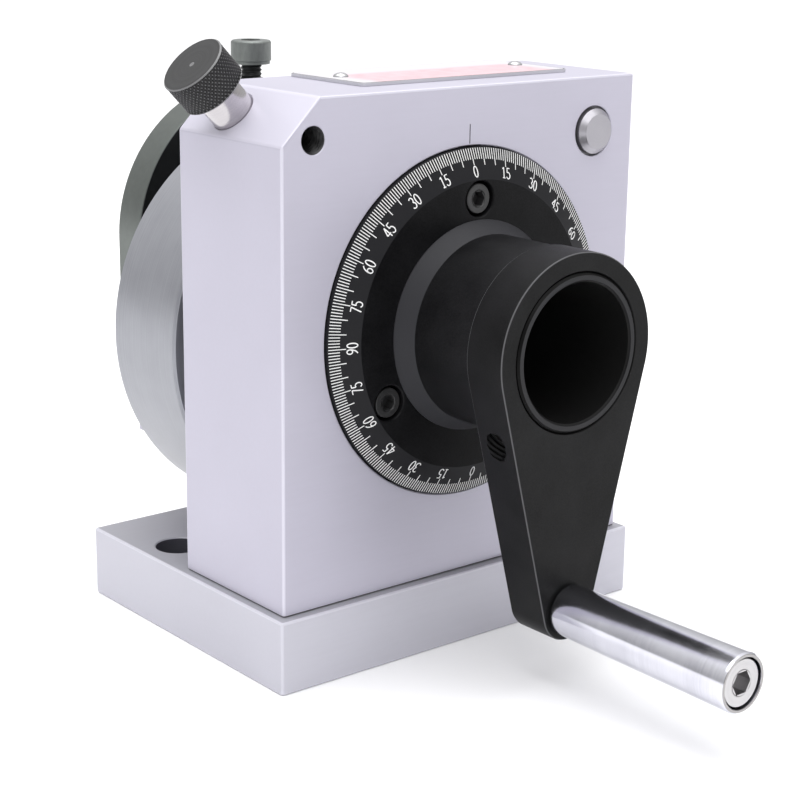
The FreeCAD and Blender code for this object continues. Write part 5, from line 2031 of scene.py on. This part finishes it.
@dataclass
class Clamp:
    """Arched bridge over the vee with its screws, the clamp screw and its swivel pad."""

    steels: Steels
    outer_radius: float = 46.5
    inner_radius: float = 36.02
    centre_z: float = 108.9
    edge: float = 0.5
    screw_hole: float = 4.05
    seat: float = 39.9
    head_hole: float = 5.3
    shank_hole: float = 3.3
    rows: tuple[float, ...] = (75.5, 91.5)
    screw_length: float = 12.9
    head_radius: float = 6.4
    head_low: float = 160.6
    head_edge: float = 0.9
    washer_radius: float = 6.0
    washer_height: float = 1.1
    neck_radius: float = 3.4
    neck_low: float = 156.1
    neck_row: float = 0.15
    shank_radius: float = 4.0
    shoulder: float = 108.6
    tip_radius: float = 2.6
    flats: float = 6.0
    socket_depth: float = 4.44
    pad_bore: float = 2.65
    pad_edge: float = 0.6
    light: Colour = (0.175, 0.190, 0.180)
    dark: Colour = (0.118, 0.130, 0.123)
    # painted shade: darker colour on the bridge's front face
    face_colour: Colour = (0.020, 0.021, 0.021)
    # painted shade: darker colour on the screw below its head
    neck_colour: Colour = (0.045, 0.046, 0.048)

    def build(self) -> None:
        """Makes the bridge, the screws and the pad."""
        self.middle_y = centre_of("clamp_bridge").y
        self.bridge()
        self.screw()
        self.pad()

    def bridge(self) -> None:
        """Makes the arch and the four screws in its legs."""
        low, high = low_of("clamp_bridge"), high_of("clamp_bridge")
        outline = [(self.outer_radius, low.z)] + arc((0.0, self.centre_z), self.outer_radius, 0.0,
                                                     math.pi, 128)
        outline += [(-self.outer_radius, low.z), (-self.inner_radius, low.z)]
        outline += arc((0.0, self.centre_z), self.inner_radius, math.pi, 0.0,
                       128) + [(self.inner_radius, low.z)]
        arch = extruded("clamp_arch", outline, Plane.FRONT, low.y, high.y, self.edge)
        cutters = [hole(along_z(0.0, self.middle_y), self.screw_hole, high.z + BEYOND,
                        self.centre_z + self.inner_radius - BEYOND)]
        screws = []
        for side in (-1.0, 1.0):
            for z in self.rows:
                axis = along_x(self.middle_y, z, side)
                cutters.append(hole(axis, self.head_hole, self.outer_radius, self.seat,
                                    self.edge / 2))
                cutters.append(hole(axis, self.shank_hole, self.seat + BEYOND / 2,
                                    self.inner_radius - BEYOND))
                screws.append(M6_CAP.build(along_x(self.middle_y, z, -side), -self.seat,
                                           self.screw_length))
        # painted shade: the front face of the arch is coloured dark
        faces = (Touch(Between(along_y(0.0, 0.0), low.y - BEYOND, low.y + 0.05, 0.04),
                       self.face_colour),)
        steel = GroundSteel("grey_green_steel", self.light, self.dark, 0.42, 0.85,
                            (500.0, 500.0, 500.0), faces)
        settle(carve(arch, cutters), "slide", steel.material(), ["clamp_bridge"])
        settle(joined("bridge_cap_screws", screws), "slide", self.steels.screw,
               ["bridge_screws"])

    def screw(self) -> None:
        """Makes the clamp screw with its eased head, threaded neck and tip."""
        low, high = low_of("clamp_screw").z, high_of("clamp_screw").z
        axis = along_z(0.0, self.middle_y)
        head, edge, base = self.head_radius, self.head_edge, self.head_low + self.washer_height
        cap = arc((head - edge, high - edge), edge, math.pi / 2, 0.0, 4)
        neck = [(self.neck_radius, self.head_low), (self.neck_radius, self.neck_low)]
        rows = math.ceil((self.head_low - self.neck_low) / self.neck_row)
        profile = [(0.0, high)] + cap + [(head, base), (self.washer_radius, base - 0.2),
                                         (self.washer_radius, self.head_low)]
        profile += split_rows(neck, self.neck_row)[:rows] + [neck[-1]]
        profile += [(self.shank_radius, self.neck_low), (self.shank_radius, self.shoulder),
                    (self.tip_radius, self.shoulder), (self.tip_radius, low), (0.0, low)]
        thread = Thread(1.25, 0.5, self.neck_low + 0.1, self.head_low - 0.1)
        screw = turned("clamp_cap_screw", profile, axis, 96, thread)
        socket = hex_bar("cutter", self.flats, axis, high - self.socket_depth, high + BEYOND)
        # painted shade: the neck, shank and tip under the head are coloured darker
        neck_shade = Touch(Between(axis, low, self.head_low, 0.1), self.neck_colour)
        steel = GroundSteel("grey_green_screw", (0.29, 0.305, 0.295), (0.15, 0.163, 0.157), 0.42,
                            0.6,
                            (900.0, 900.0, 300.0), (neck_shade,))
        settle(carve(screw, [socket]), "clamp_screw", steel.material(),
               ["clamp_screw"])

    def pad(self) -> None:
        """Makes the swivel pad."""
        low, high = low_of("clamp_pad"), high_of("clamp_pad")
        edge, radius = self.pad_edge, high.x
        profile = [(self.pad_bore, low.z), (radius - edge, low.z), (radius, low.z + edge),
                   (radius, high.z - edge),
                   (radius - edge, high.z), (self.pad_bore, high.z)]
        pad = turned("swivel_pad", profile, along_z(0.0, self.middle_y), 96)
        settle(pad, "clamp_pad", self.steels.hidden, ["clamp_pad"])


@dataclass
class InnerPieces:
    """Pieces inside the object or deep in its holes, which keep their solids."""

    steels: Steels

    def dress_all(self) -> None:
        """Gives each of them its finish."""
        finishes = {
            self.steels.hidden: ["base_dowels", "index_ring", "index_key", "slide_gib",
                                 "adjusting_screw"],
            self.steels.black: ["plunger_pin"],
            self.steels.bronze: ["front_bush", "rear_bush", "adjusting_nut"],
            self.steels.spring: ["plunger_spring"],
            self.steels.screw: ["housing_set_screw", "arm_set_screw", "gib_screws", "screw_bush"],
        }
        for material, nodes in finishes.items():
            for node in nodes:
                dress(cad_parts[node], material)
                LOG.info("%s keeps its solid in %s", node, material.name)


@dataclass
class Studio:
    """Camera, floor and soft light."""

    camera_place: Vector = field(default_factory=lambda: Vector((-343.69, -389.34, 216.34)))
    camera_right: Vector = field(default_factory=lambda: Vector((0.77482, -0.63207, 0.01192)))
    camera_forward: Vector = field(default_factory=lambda: Vector((0.61173, 0.74485, -0.26643)))
    lens: float = 84.14
    floor_half: float = 12.0
    floor_colour: Colour = (0.93, 0.93, 0.94)
    sky_strength: float = 1.6
    sky: tuple[Pair, ...] = ((0.5, 0.28), (0.75, 0.53), (1.0, 1.0))

    def build(self) -> None:
        """Makes the camera, the floor and the lights."""
        self.camera()
        self.floor()
        self.world()
        self.softbox("key_light", Vector((-0.6, -1.0, 1.5)), 1.0, 5.0)
        self.softbox("top_light", Vector((0.0, 0.1, 1.6)), 1.5, 18.0)

    def camera(self) -> None:
        """Puts the camera at the photograph's viewpoint."""
        data = bpy.data.cameras.new("camera")
        data.lens = self.lens
        data.sensor_width = 36.0
        data.clip_end = 100.0
        up = self.camera_right.cross(self.camera_forward)
        turn = Matrix((self.camera_right, up, -self.camera_forward)).transposed().to_4x4()
        camera = bpy.data.objects.new("camera", data)
        camera.matrix_world = Matrix.Translation(self.camera_place * MM) @ turn
        bpy.context.scene.collection.objects.link(camera)
        bpy.context.scene.camera = camera

    def floor(self) -> None:
        """Makes the pale floor."""
        maker = bmesh.new()
        half = self.floor_half / MM
        maker.faces.new([maker.verts.new((x, y, 0.0)) for x,
                         y in rectangle(-half, half, -half, half)])
        floor = new_piece("studio_floor", maker)
        shader = Shader.of_material("pale_floor")
        dress(floor, shader.finish(Base_Color=(*self.floor_colour, 1.0), Roughness=0.9))

    def world(self) -> None:
        """Lights the scene from a sky that grows brighter overhead."""
        scene = bpy.context.scene
        scene.view_settings.view_transform = "Standard"
        sky = Shader(bpy.data.worlds.new("soft_studio"))
        toward = sky.node("ShaderNodeTexCoord", {}, {}, "Generated")
        height = sky.node("ShaderNodeSeparateXYZ", {}, {0: toward}, 2)
        scene.world = sky.glow(sky.ramp(height * 0.5 + 0.5, self.sky) * self.sky_strength)

    def softbox(self, name: str, place: Vector, size: float, power: float) -> None:
        """Adds a square soft light that points at the object.

        Args:
            name: its name.
            place: its place in metres.
            size: its width in metres.
            power: its power in watts.
        """
        data = bpy.data.lights.new(name, "AREA")
        data.size = size
        data.energy = power
        light = bpy.data.objects.new(name, data)
        aim = Vector((0.0, 0.0, CENTRE_Z * MM)) - place
        turn = aim.to_track_quat("-Z", "Y").to_matrix().to_4x4()
        light.matrix_world = Matrix.Translation(place) @ turn
        bpy.context.scene.collection.objects.link(light)


def main() -> None:
    """Builds the studio and dresses the punch former, sub-assembly by sub-assembly."""
    logging.basicConfig(level=logging.INFO, format="%(name)s: %(message)s")
    Studio().build()
    steels = Steels()
    assemblies = (Base(steels), Block(steels), NamePlate(steels), Dial(steels), Crank(steels),
                  Plunger(steels), StopPin(), VeeSlide(steels), Clamp(steels))
    for assembly in assemblies:
        assembly.build()
    InnerPieces(steels).dress_all()


if __name__ == "__main__":
    main()
